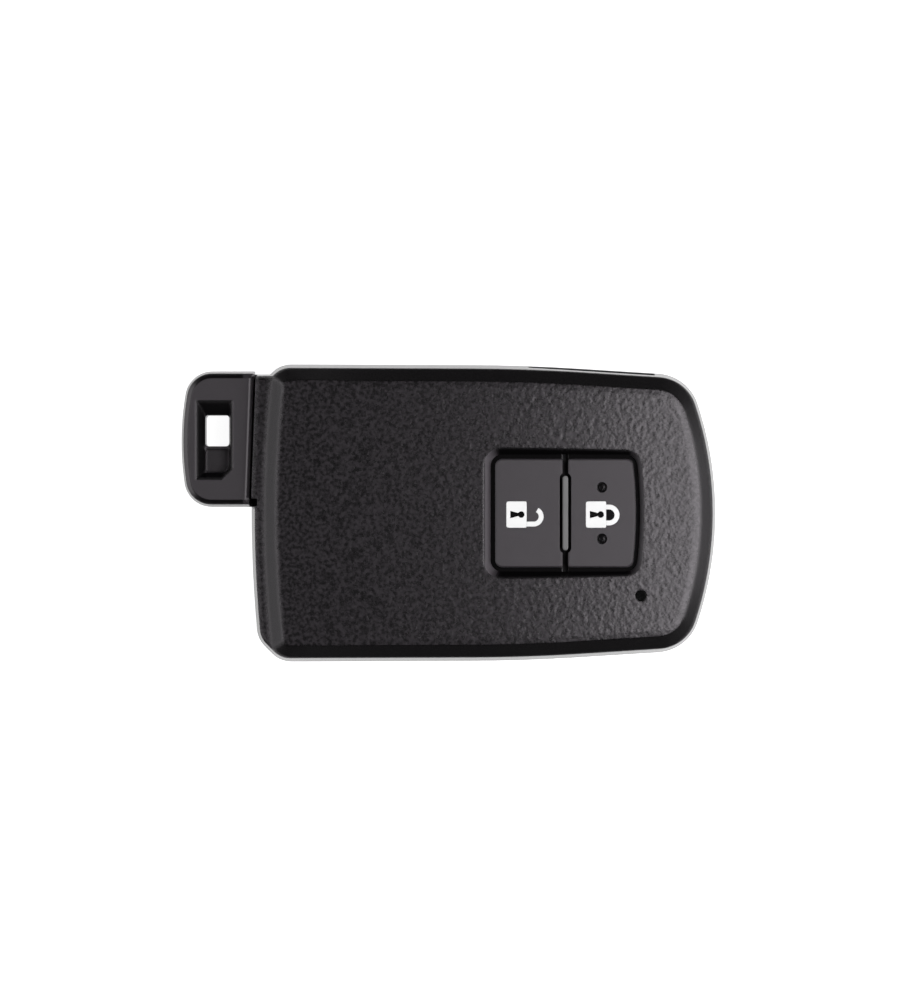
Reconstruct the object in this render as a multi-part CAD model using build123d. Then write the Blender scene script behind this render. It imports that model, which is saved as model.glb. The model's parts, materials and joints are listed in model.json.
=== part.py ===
"""Two-button car key fob with a pull-out emergency key.

The fob lies on its back with the buttons up. X runs along its length from the key head to the
button end, Y runs across it, and Z points up. The origin is the middle of the flat back.
All sizes are in millimetres and all angles in degrees.
"""

from build123d import *

import math
import os

# Case seen from the button side. The rim is the edge of the rear cover, which stands out all round.
case_length = 64.6
case_width = 41.4
rim_overhang = 0.65
shoulder_setback = 25.8
shoulder_width = 39.85
button_end_width = 36.5
ring_end_radius = 180.0
button_end_radius = 47.5
button_corner_radius = 5.5
shoulder_radius = 250.0
corner_cut = 3.6
corner_cut_radius = 3.0

# Walls and surfaces of the two covers.
front_wall = 1.4
rear_wall = 1.3
rear_cover_height = 6.0
crown_radius = 700.0
crown_peak_x = -4.0
bevel_width = 1.9
bevel_drop = 1.5
face_edge_width = 0.7
face_edge_drop = 0.12
rear_bevel_width = 1.5
rear_bevel_height = 1.5
rim_slope_width = 0.55
rim_slope_height = 3.1

# Stepped ring end of the front cover: a ledge, then a slope up to the face.
step_face_setback = 3.0
step_slope_width = 1.75
step_face_radius = 167.0
ledge_height = 10.9

# Seat of the key head in the ring end: a slanted side that the head lies against, and its collar.
seat_setback = 0.8
collar_length = 3.6
collar_from_side = 0.7
collar_rim = 0.35
collar_edge_width = 0.55
collar_edge_drop = 0.45

# Sill of the rear cover under the key head, which closes the gap beside the seat from below.
sill_reach = 0.9
sill_gap = 0.15

# Shallow grip along the key side of the rim.
grip_start = 6.3
grip_length = 17.5
grip_depth = 0.33
grip_height = 2.6

# Lip of the rear cover and its rebate in the front cover.
lip_thickness = 0.6
lip_height = 0.8
lip_clearance = 0.08

# Snap arms that hold the two covers together, two on each long side.
snap_width = 3.2
snap_thickness = 0.9
snap_gap = 0.12
snap_reach = 2.2
snap_barb = 0.45
snap_barb_height = 0.9
snap_barb_slope = 0.6
snap_root_height = 1.8
snap_place_shares = (-0.617, 0.427)
snap_pocket_clearance = 0.15

# Stack from the back to the face.
module_floor_gap = 0.2
battery_cover_thickness = 0.8
contact_height = 0.7
board_thickness = 0.8
switch_height = 1.2
plunger_height = 0.4
roof_gap = 0.1
roof_thickness = 0.9
web_thickness = 0.6
boss_height = 0.4
flange_thickness = 0.6
flange_gap = 0.2

# Button window and the two keytops in it.
window_center_x = 11.25
window_length = 20.6
window_width = 16.2
window_corner_radius = 1.6
window_bow_radius = 60.0
window_slope_width = 0.55
window_slope_depth = 0.6
keytop_gap = 0.6
keytop_split = 0.75
keytop_recess = 0.15
keytop_wall = 0.9
keytop_edge = 0.2
keytop_inner_corner = 0.3
keytop_post_radius = 1.6
flange_reach = 0.85
divider_width = 0.76
divider_length = 10.3
divider_gap = 0.42
divider_rise = 0.1
divider_edge = 0.15
press_travel = 0.35
dot_spacing = 7.1
dot_radius = 0.7
dot_depth = 0.45
dot_dome_radius = 0.36

# Indicator lamp in the face.
lamp_x = 21.7
lamp_y = -11.4
lamp_guide_radius = 0.75
lamp_guide_clearance = 0.05
lamp_guide_recess = 0.25
lamp_guide_flange_radius = 1.15
lamp_guide_flange_height = 0.6
lamp_guide_air = 0.3
lamp_aperture_clearance = 0.3

# Silicone keypad under the keytops, and the frame in the front cover that clamps its edge.
clamp_gap = 0.3
clamp_frame = 0.8
clamp_play = 0.05
boss_radius = 2.4
pusher_radius = 1.3
pusher_gap = 0.03

# Module case, which carries the circuit board and hangs in the front cover.
module_gap = 0.35
module_ring_end = -19.0
module_skirt = 0.9
module_ledge = 0.7
module_board_clearance = 0.15
module_notch_clearance = 0.3
aperture_radius = 3.4
stake_radius = 0.7
stake_clearance = 0.06
stake_head_radius = 1.1
stake_head_height = 0.3
stake_place_shares = ((-0.49, 0.66), (-0.49, -0.63), (0.7, 0.53))
rest_post_radius = 1.3
rest_post_place_shares = ((-0.46, 0.51), (-0.46, -0.51), (-0.17, 0.71), (-0.17, -0.71))
module_clip_width = 4.0
module_clip_thickness = 0.7
module_clip_gap = 0.12
module_clip_barb = 0.5
module_clip_barb_height = 0.7
module_clip_barb_slope = 0.5
module_clip_y = -8.0

# Coin cell.
battery_x = 3.5
battery_y = -6.4
battery_radius = 10.0
battery_height = 3.2
can_wall = 0.25
can_edge = 0.3
can_crimp_width = 0.65
can_crimp_drop = 0.12
cap_side_gap = 0.12

# Battery holder, and the cover under the cell with its seal.
holder_clearance = 0.15
holder_wall = 0.8
holder_shelf = 0.9
holder_shelf_play = 0.05
holder_pin_radius = 0.35
holder_pin_clearance = 0.05
holder_pin_head_radius = 0.75
holder_pin_head_height = 0.3
holder_pin_angles = (100.0, 200.0, 320.0)
cover_slot_length = 9.0
cover_slot_width = 1.4
cover_slot_depth = 0.35
cover_tab_angles = (60.0, 180.0, 300.0)
cover_tab_width = 3.4
cover_tab_thickness = 0.55
cover_tab_gap = 0.06
cover_tab_height = 1.9
cover_barb = 0.3
cover_barb_height = 0.6
cover_barb_slope = 0.3
cover_barb_clearance = 0.06
seal_groove_depth = 0.25
seal_width = 0.5

# Battery contacts.
contact_thickness = 0.2
negative_contact_length = 11.0
negative_contact_width = 5.0
negative_finger_root = 0.6
negative_finger_width = 1.4
negative_finger_length = 3.2
negative_finger_gap = 0.4
negative_touch_length = 0.8
positive_contact_width = 4.0
positive_contact_angle = 230.0
positive_contact_foot = 1.5
positive_contact_drop = 2.6
positive_contact_slot = 0.25

# Switches on the board.
switch_length = 4.4
switch_width = 3.4
switch_corner_radius = 0.3
switch_leg_length = 0.8
switch_leg_width = 0.7
switch_leg_thickness = 0.15
switch_leg_spacing = 2.2
plunger_radius = 0.95
plunger_clearance = 0.04
plunger_depth = 0.45
plunger_floor_gap = 0.05
plunger_edge = 0.1

# Three-axis low-frequency antenna under the board.
antenna_x = 21.3
antenna_y = -0.5
antenna_size = 9.6
antenna_base_thickness = 0.4
antenna_core_size = 5.4
antenna_core_height = 1.5
antenna_core_edge = 0.3
antenna_wire_layer = 0.28
antenna_wire_width = 3.4
antenna_ring_width = 0.6
antenna_ring_height = 1.3
antenna_post_gap = 0.15

# Other parts on the board.
controller_x = -12.0
controller_y = 2.0
controller_size = 7.0
controller_height = 0.8
controller_pad_pitch = 0.8
controller_pad_width = 0.35
controller_pad_height = 0.15
controller_pad_reach = 0.1
radio_chip_x = -3.5
radio_chip_y = 12.2
radio_chip_length = 5.0
radio_chip_width = 3.2
radio_chip_height = 0.8
radio_chip_lift = 0.1
chip_edge = 0.12
lead_pitch = 0.65
lead_length = 0.7
lead_width = 0.25
lead_thickness = 0.15
lead_height = 0.4
lead_count = 7
crystal_x = 4.0
crystal_y = 12.4
crystal_length = 3.2
crystal_width = 2.5
crystal_height = 0.7
crystal_base_height = 0.35
crystal_lid_inset = 0.2
led_length = 1.6
led_width = 0.9
led_height = 0.6
led_base_height = 0.25
led_lens_inset = 0.2
chip_part_length = 1.0
chip_part_width = 0.5
chip_part_height = 0.4
chip_part_from_controller = 4.9
chip_part_pitch = 2.0
chip_part_columns = 5
chip_part_rows = 2
loop_antenna_strip = 1.1
loop_antenna_thickness = 0.3
loop_antenna_inset = 1.2
loop_antenna_start = 13.5
loop_antenna_gap = 0.4

# Emergency key.
key_y = 9.9
blade_length = 40.0
blade_width = 7.4
blade_thickness = 2.2
blade_root_length = 6.5
blade_root_width = 5.4
blade_tip_cut = 2.2
blade_tip_bevel = 0.6
track_width = 2.3
track_depth = 0.55
track_start = 6.0
track_overrun = 1.5
track_flat = 1.7
track_margin = 0.7
track_offset_shares = (0.0, 0.6, -0.5, 0.35, -0.75, 0.2, 0.7, -0.3, 0.45, 0.0)
tongue_length = 8.3
tongue_width = 10.8
tongue_height = 4.4
tongue_edge = 0.35
tongue_clearance = 0.12
head_gap = 0.3
head_length = 10.1
head_width = 18.8
head_shift = 0.35
head_height = 7.8
head_rise = 1.4
head_slant = 0.68
head_corner_radius = 3.8
head_end_radius = 40.0
head_draft_width = 0.4
head_draft_height = 2.4
head_edge_width = 0.6
head_edge_drop = 0.32
head_back_edge = 0.4
head_bead_width = 0.65
head_bead_rise = 0.15
head_bead_slope_width = 0.42
head_bead_slope_drop = 0.18
head_bead_from_side = 1.0
seam_notch_width = 1.05
seam_notch_depth = 0.85
seam_notch_from_head = 0.1
seam_notch_drop = 1.6
ring_recess_length = 10.3
ring_recess_width = 4.4
ring_recess_depth = 1.5
ring_recess_corner = 1.3
ring_recess_from_end = 4.63
ring_recess_shift = -0.15
ring_recess_edge = 0.35
ring_floor_corner = 0.6
ring_window_length = 4.3
ring_window_width = 3.3
ring_window_corner = 0.45
ring_window_margin = 0.2
ring_window_from_top = 1.7
ring_bar_width = 0.35
ring_pocket_length = 3.3
ring_pocket_depth = 1.2

# Key channel and tongue pocket in the rear cover.
blade_lift = 1.95
blade_play = 0.05
channel_side_clearance = 0.1
channel_wall = 0.9
channel_end_gap = 0.5
channel_rib_count = 5
channel_rib_from_end = 2.5
pocket_wall = 0.9
pocket_rib_offset = 3.6

# Release latch, its window in the back, its rails and its spring.
latch_x = -24.0
latch_pad_length = 7.0
latch_pad_width = 5.0
latch_pad_recess = 0.25
latch_pad_from_tongue = 5.1
latch_travel = 1.6
latch_clearance = 0.15
latch_window_clearance = 0.3
latch_plate_side = 1.0
latch_plate_back = 2.3
latch_plate_front = 2.4
latch_plate_thickness = 1.0
latch_floor_gap = 0.08
latch_tooth_width = 1.8
latch_tooth_shift = -2.0
latch_tooth_height = 1.2
latch_tooth_gap = 0.45
latch_tooth_clearance = 0.25
latch_back_height = 2.4
latch_back_thickness = 0.9
latch_ridges = 5
latch_ridge_width = 0.4
latch_ridge_pitch = 0.9
latch_ridge_depth = 0.25
notch_depth = 1.6
rail_wall = 0.9
rail_lip = 0.7
rail_lip_thickness = 0.7
finger_recess_margin = 1.4
finger_recess_depth = 0.35
spring_wire_radius = 0.16
spring_radius = 1.05
spring_length = 5.2
spring_turns = 6
spring_wire_sides = 8
spring_peg_radius = 0.6
spring_peg_length = 1.1
spring_seat_thickness = 1.0
spring_seat_width = 3.6

# Ribs on the floor of the rear cover.
floor_rib_height = 0.7
floor_rib_width = 0.7
floor_rib_place_shares = (-0.395, 0.6, 0.76)

# How far a cutting solid runs past what it cuts, and how far a joined one sinks into its carrier.
overrun = 1.0
bite = 0.3

# Places worked out from the sizes above.
front_half_length = case_length / 2 - rim_overhang
front_half_width = case_width / 2 - rim_overhang
shoulder_x = front_half_length - shoulder_setback
shoulder_half_width = shoulder_width / 2
battery_cover_z = rear_wall + module_floor_gap
battery_z = battery_cover_z + battery_cover_thickness
battery_top = battery_z + battery_height
board_z = battery_top + contact_height
board_top = board_z + board_thickness
switch_top = board_top + switch_height
plunger_top = switch_top + plunger_height
roof_z = switch_top + roof_gap
roof_top = roof_z + roof_thickness
web_top = roof_top + web_thickness
boss_top = web_top + boss_height
flange_top = boss_top + flange_thickness
window_high_x = window_center_x + window_length / 2
window_low_x = window_center_x - window_length / 2


def crown_drop(x):
    """How far the crowned face lies below its peak at this place along the fob."""
    return crown_radius - math.sqrt(crown_radius**2 - (x - crown_peak_x) ** 2)


case_top = flange_top + flange_gap + crown_drop(window_high_x + flange_reach) + front_wall
keytop_low_x = window_low_x + keytop_gap
keytop_high_x = window_high_x - keytop_gap
divider_x = (keytop_low_x + keytop_high_x) / 2
unlock_x = (keytop_low_x + divider_x - keytop_split / 2) / 2
lock_x = (keytop_high_x + divider_x + keytop_split / 2) / 2
blade_z = rear_wall + blade_lift + blade_play
blade_top = blade_z + blade_thickness
key_z = blade_z + blade_thickness / 2
head_face_x = -case_length / 2 + seat_setback - head_gap
head_end_x = head_face_x - head_length
head_y = key_y + head_shift
head_low_y = head_y - head_width / 2
head_high_y = head_y + head_width / 2
collar_y = head_high_y - collar_from_side
tongue_end_x = head_face_x + tongue_length
tongue_z = key_z - tongue_height / 2
tongue_top = key_z + tongue_height / 2
tongue_side_y = key_y - tongue_width / 2
blade_end_x = tongue_end_x + blade_length
channel_inner = blade_width / 2 + channel_side_clearance
channel_outer = channel_inner + channel_wall
pocket_inner = tongue_width / 2 + tongue_clearance
pocket_outer = pocket_inner + pocket_wall
pocket_end_x = tongue_end_x + tongue_clearance
holder_inner = battery_radius + holder_clearance
holder_outer = holder_inner + holder_wall
seal_inner = (holder_inner + holder_outer - seal_width) / 2
latch_z = rear_wall + latch_floor_gap
latch_top = latch_z + latch_plate_thickness
latch_pad_y = tongue_side_y - latch_pad_from_tongue - latch_pad_width / 2
latch_back_y = latch_pad_y - latch_pad_width / 2 - latch_plate_back
latch_front_y = latch_pad_y + latch_pad_width / 2 + latch_plate_front
latch_half_length = latch_pad_length / 2 + latch_plate_side
tooth_x = latch_x + latch_tooth_shift
tooth_top = latch_top + latch_tooth_height
spring_z = latch_top + spring_radius + spring_wire_radius
spring_seat_y = latch_back_y - spring_length
module_inset = front_wall + module_gap
board_inset = module_inset + module_skirt + module_board_clearance
can_side_radius = battery_radius - can_wall
can_crimp_radius = battery_radius - can_crimp_width
can_crimp_top = battery_top - can_crimp_drop
cap_radius = can_crimp_radius - cap_side_gap
cap_flange_radius = can_side_radius - cap_side_gap
cap_flange_top = can_crimp_top - can_wall - cap_side_gap
antenna_top = board_z - antenna_base_thickness
antenna_core_top = antenna_top - 2 * antenna_wire_layer
antenna_core_z = antenna_core_top - antenna_core_height


def block(x0, x1, y0, y1, z0, z1):
    """A box between two corners."""
    corner = Box(x1 - x0, y1 - y0, z1 - z0, align=(Align.MIN, Align.MIN, Align.MIN))
    return Pos(x0, y0, z0) * corner


def bar(x, y, length, width, z0, z1):
    """A box centred on a place, between two heights."""
    return block(x - length / 2, x + length / 2, y - width / 2, y + width / 2, z0, z1)


def rod(x, y, z0, z1, radius):
    """An upright round bar."""
    return Pos(x, y, z0) * Cylinder(radius, z1 - z0, align=(Align.CENTER, Align.CENTER, Align.MIN))


def tube(x, y, z0, z1, outer, inner):
    """An upright tube."""
    return rod(x, y, z0, z1, outer) - rod(x, y, z0 - overrun, z1 + overrun, inner)


def slab(face, z0, z1):
    """A flat outline raised between two heights."""
    return Pos(0, 0, z0) * extrude(face, amount=z1 - z0)


def grown(face, amount):
    """An outline moved outwards, or inwards if the amount is negative."""
    if amount == 0:
        return face
    return offset(face, amount=amount, kind=Kind.INTERSECTION)


def turned(profile):
    """A solid turned about the upright axis from points of radius and height."""
    return revolve(Plane.XZ * make_face(Polyline(*profile, close=True)), Axis.Z)


def edged(solid, size, where):
    """The solid with the edges of its highest or lowest face taken off."""
    face = solid.faces().sort_by(Axis.Z)[where]
    return chamfer(face.edges(), size)


def hook(width, thickness, low_z, high_z, barb, barb_height, barb_slope):
    """A hanging snap hook whose back is at Y 0 and whose barb points along Y."""
    arm = block(-width / 2, width / 2, -thickness, 0, low_z, high_z)
    profile = Polyline(
        (-bite, low_z),
        (0, low_z),
        (barb, low_z + barb_slope),
        (barb, low_z + barb_height),
        (-bite, low_z + barb_height),
        close=True,
    )
    return arm + Pos(-width / 2, 0, 0) * extrude(Plane.YZ * make_face(profile), amount=width)


def case_outline(corner_radius=0):
    """The front cover's edge seen from above: two bowed ends between sides that taper to the buttons."""
    low, high = -front_half_length - overrun, front_half_length + overrun
    upper = [
        (low, front_half_width - corner_cut - overrun),
        (-front_half_length + corner_cut, front_half_width),
        (shoulder_x, shoulder_half_width),
        (high, button_end_width / 2),
    ]
    lower = [(x, -y) for x, y in reversed(upper)]
    ring_end = Pos(-front_half_length + ring_end_radius, 0) * Circle(ring_end_radius)
    button_end = Pos(front_half_length - button_end_radius, 0) * Circle(button_end_radius)
    outline = make_face(Polyline(*upper, *lower, close=True)) & ring_end & button_end
    outline = fillet(outline.vertices().sort_by(Axis.X)[-2:], button_corner_radius)
    shoulders = outline.vertices().filter_by(lambda v: abs(v.X - shoulder_x) < overrun)
    outline = fillet(shoulders, shoulder_radius)
    if corner_radius:
        outline = fillet(outline.vertices().sort_by(Axis.X)[:4], corner_radius)
    return outline


def side_y(x, inset):
    """Half of the front cover's width at this place, less an inset."""
    if x < shoulder_x:
        share = (shoulder_x - x) / (shoulder_x + front_half_length - corner_cut)
        return shoulder_half_width + share * (front_half_width - shoulder_half_width) - inset
    share = (x - shoulder_x) / (shoulder_setback + overrun)
    return shoulder_half_width - share * (shoulder_half_width - button_end_width / 2) - inset


def case_places(shares):
    """Places given as shares of the front cover's half length and half width."""
    return [(x * front_half_length, y * front_half_width) for x, y in shares]


def evenly(count, start, end):
    """Places spread evenly from a start to an end, both included."""
    return [start + i * (end - start) / (count - 1) for i in range(count)]


def crown(z_peak):
    """Everything under a surface that is crowned along the fob."""
    barrel = Rot(90, 0, 0) * Cylinder(crown_radius, case_width * 2)
    return Pos(crown_peak_x, 0, z_peak - crown_radius) * barrel


def ring_end_step(inset):
    """What is left of the front once its ring end has been stepped down to the ledge."""
    face_x = -front_half_length + step_face_setback + inset
    drop = case_top - crown_drop(face_x) - ledge_height
    low_z = ledge_height - inset
    rise = case_top + overrun - low_z
    low_radius = step_face_radius + step_slope_width
    high_radius = low_radius - rise * step_slope_width / drop
    cone = Cone(low_radius, high_radius, rise, align=(Align.CENTER, Align.CENTER, Align.MIN))
    below = block(-case_length, case_length, -case_width, case_width, -overrun, low_z)
    return Pos(face_x + step_face_radius, 0, low_z) * cone + below


def front_form(inset, z0):
    """The front cover's outer form, or with an inset the hollow inside its wall."""
    corner_radius = 0 if inset else corner_cut_radius
    form = slab(grown(case_outline(corner_radius), -inset), z0, case_top + overrun)
    form = form & crown(case_top - inset)
    for width, drop in ((bevel_width, bevel_drop), (face_edge_width, face_edge_drop)):
        face = form.faces().sort_by(Axis.Z)[-1]
        form = chamfer(face.edges(), width, drop, reference=face)
    return form & ring_end_step(inset)


def seat_x(y):
    """Where the covers' slanted seat for the key head lies at this place across the fob."""
    return head_face_x + head_gap - (head_high_y - y) * head_slant / head_width


def collar(high_y, width, drop, z0, z1):
    """The ring end filled out to the key head's seat, with the edge of its outer side taken off."""
    low_y, high_x = head_low_y, -front_half_length + collar_length
    points = [(seat_x(low_y), low_y), (high_x, low_y), (high_x, high_y), (seat_x(high_y), high_y)]
    solid = slab(make_face(Polyline(*points, close=True)), z0, z1)
    top = solid.faces().sort_by(Axis.Z)[-1]
    return chamfer(top.edges().sort_by(Axis.Y)[-1], width, drop, reference=top)


def head_room():
    """The room beside the seat, which nothing of the covers may fill."""
    low_y, high_y, end_x = head_low_y, case_width, -case_length
    points = [(end_x, low_y), (seat_x(low_y), low_y), (seat_x(high_y), high_y), (end_x, high_y)]
    return slab(make_face(Polyline(*points, close=True)), -overrun, case_top)


def sill(reach, margin, z0, z1):
    """A strip along the seat that reaches out under the key head."""
    low_y, high_y = head_low_y - margin, collar_y + collar_rim + margin
    points = [
        (seat_x(low_y) - reach, low_y),
        (seat_x(low_y) + bite, low_y),
        (seat_x(high_y) + bite, high_y),
        (seat_x(high_y) - reach, high_y),
    ]
    return slab(make_face(Polyline(*points, close=True)), z0, z1)


def window_outline(margin):
    """The button window with its bowed end, grown by a margin."""
    low, high = window_low_x - margin, window_high_x + margin
    bow = Pos(high - window_bow_radius, 0) * Circle(window_bow_radius)
    frame = Pos((low + high) / 2, 0) * Rectangle(high - low, window_width + 2 * margin)
    outline = frame & bow
    return fillet(outline.vertices(), window_corner_radius + margin)


def window_slope():
    """The sloped edge of the button window."""
    z0 = case_top - crown_drop(window_high_x) - window_slope_depth
    rise = window_slope_depth + crown_drop(window_high_x) + bite
    spread = window_slope_width * rise / window_slope_depth
    low = Pos(0, 0, z0) * window_outline(0)
    high = Pos(0, 0, z0 + rise) * window_outline(spread)
    return loft([low, high], ruled=True)


def key_passage(z0, z1):
    """The opening in the ring end that the key's tongue goes through."""
    low_x = -case_length / 2 - overrun
    high_x = -front_half_length + front_wall + overrun
    return block(low_x, high_x, key_y - pocket_inner, key_y + pocket_inner, z0, z1)


def seam_notch():
    """The small notch in the seat at the inner corner of the key head, where the covers are pried apart."""
    low_y = head_low_y + seam_notch_from_head
    high_x = seat_x(low_y) + seam_notch_depth
    low_z = rear_cover_height - seam_notch_drop
    return block(-case_length, high_x, low_y, low_y + seam_notch_width, low_z, case_top)


def snap_sides():
    """Each snap arm's place, the outer face of its strip and the turn that points its barb outwards."""
    places = []
    for share in snap_place_shares:
        x = share * front_half_length
        y = side_y(x + snap_width / 2, front_wall) - snap_gap
        places += [(x, y, 0), (x, -y, 180)]
    return places


def snap_arm():
    """One snap arm, with a root that joins the front wall above the lip."""
    root_z = rear_cover_height + lip_height + lip_clearance + bite
    root_top = root_z + snap_root_height
    low_z = rear_cover_height - snap_reach
    arm = hook(snap_width, snap_thickness, low_z, root_top, snap_barb, snap_barb_height, snap_barb_slope)
    return arm + block(-snap_width / 2, snap_width / 2, -snap_thickness, snap_gap + bite, root_z, root_top)


def snap_room(clearance, z0, z1):
    """The room round one snap arm and its barb."""
    half = snap_width / 2 + clearance
    return block(-half, half, -snap_thickness - clearance, snap_barb + clearance, z0, z1)


def module_clips():
    """Places of the two hooks that carry the module: one at its ring end, one at the board's button end."""
    far_x = front_half_length - board_inset + module_clip_gap
    return [(module_ring_end - module_clip_gap, module_clip_y, -90), (far_x, 0, 90)]


def front_cover():
    """The front cover: a crowned, bevelled shell with the button window, the lamp hole and its inner ribs."""
    outer = front_form(0, rear_cover_height)
    seat = collar(collar_y, collar_edge_width, collar_edge_drop, rear_cover_height, ledge_height)
    cover = outer + seat - head_room()
    cover -= front_form(front_wall, rear_cover_height - overrun)
    rebate = grown(case_outline(), -(front_wall - lip_thickness - lip_clearance))
    rebate_top = rear_cover_height + lip_height + lip_clearance
    cover -= slab(rebate, rear_cover_height - overrun, rebate_top)

    clamp = slab(window_outline(flange_reach + clamp_gap + clamp_frame), web_top + clamp_play, case_top)
    clamp -= slab(window_outline(flange_reach + clamp_gap), web_top, case_top)
    cover += clamp & outer
    for x, y in case_places(rest_post_place_shares):
        cover += rod(x, y, roof_top + clamp_play, case_top, rest_post_radius) & outer
    below = block(-case_length, case_length, -case_width, case_width, 0, rear_cover_height)
    clip_z = board_z - clamp_play - module_clip_barb_height
    clip = hook(
        module_clip_width,
        module_clip_thickness,
        clip_z,
        case_top,
        module_clip_barb,
        module_clip_barb_height,
        module_clip_barb_slope,
    )
    for x, y, turn in module_clips():
        placed = Pos(x, y, 0) * Rot(0, 0, turn) * clip
        cover += (placed & outer) + (placed & below)
    for x, y, turn in snap_sides():
        cover += Pos(x, y, 0) * Rot(0, 0, turn) * snap_arm()

    cover -= slab(window_outline(0), web_top, case_top + overrun)
    cover -= window_slope()
    cover -= rod(lamp_x, lamp_y, web_top, case_top + overrun, lamp_guide_radius + lamp_guide_clearance)
    cover -= key_passage(rear_cover_height - overrun, tongue_top + tongue_clearance)
    return cover - seam_notch()


def rear_shell():
    """The rear cover's outer form with its bevelled back, hollow inside."""
    outline = grown(case_outline(corner_cut_radius), rim_overhang)
    shell = slab(outline, 0, rear_cover_height)
    back = shell.faces().sort_by(Axis.Z)[0]
    shell = chamfer(back.edges(), rear_bevel_width, rear_bevel_height, reference=back)
    top = shell.faces().sort_by(Axis.Z)[-1]
    shell = chamfer(top.edges(), rim_slope_width, rim_slope_height, reference=top)
    rim_y = collar_y + collar_rim
    shell += collar(rim_y, collar_rim, rim_slope_height, rear_bevel_height, rear_cover_height)
    shell -= head_room()
    shell += sill(sill_reach, 0, rear_bevel_height, tongue_z - sill_gap)
    hollow = grown(case_outline(), -front_wall)
    shell -= slab(hollow, rear_wall, rear_cover_height + overrun)
    lip = grown(case_outline(), -(front_wall - lip_thickness))
    lip = slab(lip, rear_cover_height - bite, rear_cover_height + lip_height)
    return shell + (lip - slab(hollow, 0, case_top))


def key_channel():
    """Walls and cross ribs that guide the blade, and the wider pocket for the key's tongue."""
    z0 = rear_wall - bite
    start_x = -front_half_length + front_wall - bite
    end_x = blade_end_x + channel_end_gap
    low_y, high_y = key_y - channel_outer, key_y + channel_outer
    slot = block(start_x, end_x, key_y - channel_inner, key_y + channel_inner, 0, case_top)
    walls = block(pocket_end_x, end_x + channel_wall, low_y, high_y, z0, blade_top) - slot
    first, last = tongue_end_x + channel_rib_from_end, blade_end_x - channel_rib_from_end
    for x in evenly(channel_rib_count, first, last):
        walls += bar(x, key_y, channel_wall, 2 * channel_outer, z0, blade_z - blade_play)
    pocket_back_x = pocket_end_x + pocket_wall
    pocket = block(start_x, pocket_back_x, key_y - pocket_outer, key_y + pocket_outer, z0, rear_cover_height)
    pocket -= block(start_x - overrun, pocket_end_x, key_y - pocket_inner, key_y + pocket_inner, 0, case_top)
    pocket -= slot
    for offset_y in (-pocket_rib_offset, pocket_rib_offset):
        rib_top = tongue_z - tongue_clearance
        rib = block(start_x, pocket_end_x + bite, -pocket_wall / 2, pocket_wall / 2, z0, rib_top)
        pocket += Pos(0, key_y + offset_y, 0) * rib
    return walls + pocket


def latch_guides():
    """Two rails that hold the latch down on the floor, and the seat of its spring."""
    cap_z = latch_top + latch_floor_gap
    y = (latch_back_y + latch_front_y) / 2
    length = latch_front_y - latch_back_y
    guides = []
    for side in (-1, 1):
        wall_x = latch_x + side * (latch_half_length + latch_clearance + rail_wall / 2)
        guides.append(bar(wall_x, y, rail_wall, length, rear_wall - bite, cap_z + bite))
        cap_x = wall_x - side * rail_lip / 2
        guides.append(bar(cap_x, y, rail_wall + rail_lip, length, cap_z, cap_z + rail_lip_thickness))
    seat_y = spring_seat_y - spring_seat_thickness / 2
    seat_top = spring_z + spring_radius + spring_wire_radius
    guides.append(bar(latch_x, seat_y, spring_seat_width, spring_seat_thickness, rear_wall - bite, seat_top))
    guides.append(Pos(latch_x, spring_seat_y - bite, spring_z) * spring_peg(-90))
    return guides


def latch_window():
    """The window in the back for the latch's thumb pad, with the shallow finger recess round it."""
    length = latch_pad_length + 2 * latch_window_clearance
    width = latch_pad_width + latch_travel + 2 * latch_window_clearance
    y = latch_pad_y + latch_travel / 2
    margin = finger_recess_margin
    recess = Pos(latch_x, y) * RectangleRounded(length + 2 * margin, width + 2 * margin, margin)
    return bar(latch_x, y, length, width, 0, rear_wall + bite) + slab(recess, -overrun, finger_recess_depth)


def rear_cover():
    """The rear cover: a tub with the key channel, the latch rails and the pockets for the snap arms."""
    cover = rear_shell() + key_channel()
    for guide in latch_guides():
        cover += guide
    rib_top = rear_wall + floor_rib_height
    for share in floor_rib_place_shares:
        x = share * front_half_length
        beside_key = x < blade_end_x + channel_end_gap
        high_y = key_y - channel_outer if beside_key else side_y(x, front_wall)
        low_y = -side_y(x, front_wall)
        length = high_y - low_y + 2 * bite
        cover += bar(x, (low_y + high_y) / 2, floor_rib_width, length, rear_wall - bite, rib_top)

    pocket_z = rear_cover_height - snap_reach - snap_pocket_clearance
    pocket_top = pocket_z + snap_barb_height + 2 * snap_pocket_clearance
    pocket = snap_room(snap_pocket_clearance, pocket_z, pocket_top)
    for x, y, turn in snap_sides():
        cover -= Pos(x, y, 0) * Rot(0, 0, turn) * pocket
    cover -= key_passage(tongue_z - tongue_clearance, case_top)
    way_length = latch_tooth_width + 2 * latch_tooth_clearance
    way_width = 2 * pocket_wall + bite
    cover -= bar(tooth_x, key_y - pocket_inner, way_length, way_width, rear_wall, tooth_top + bite)
    return cover - latch_window() - rim_grip() - seam_notch()


def rim_grip():
    """The strip taken off the rim on the key side, so that a finger finds the button end."""
    low_x, high_x = grip_start, grip_start + grip_length
    points = [
        (low_x, side_y(low_x, -rim_overhang) - grip_depth),
        (high_x, side_y(high_x, -rim_overhang) - grip_depth),
        (high_x, case_width),
        (low_x, case_width),
    ]
    strip = make_face(Polyline(*points, close=True))
    return slab(strip, rear_cover_height - grip_height, rear_cover_height + bite)


def module_outline(inset):
    """An inset copy of the case's outline, cut short at the ring end, for the module case and the board."""
    outline = grown(case_outline(), -(module_inset + inset))
    frame = Pos(module_ring_end + inset, 0) * Rectangle(
        case_length, case_width, align=(Align.MIN, Align.CENTER)
    )
    return outline & frame


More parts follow.
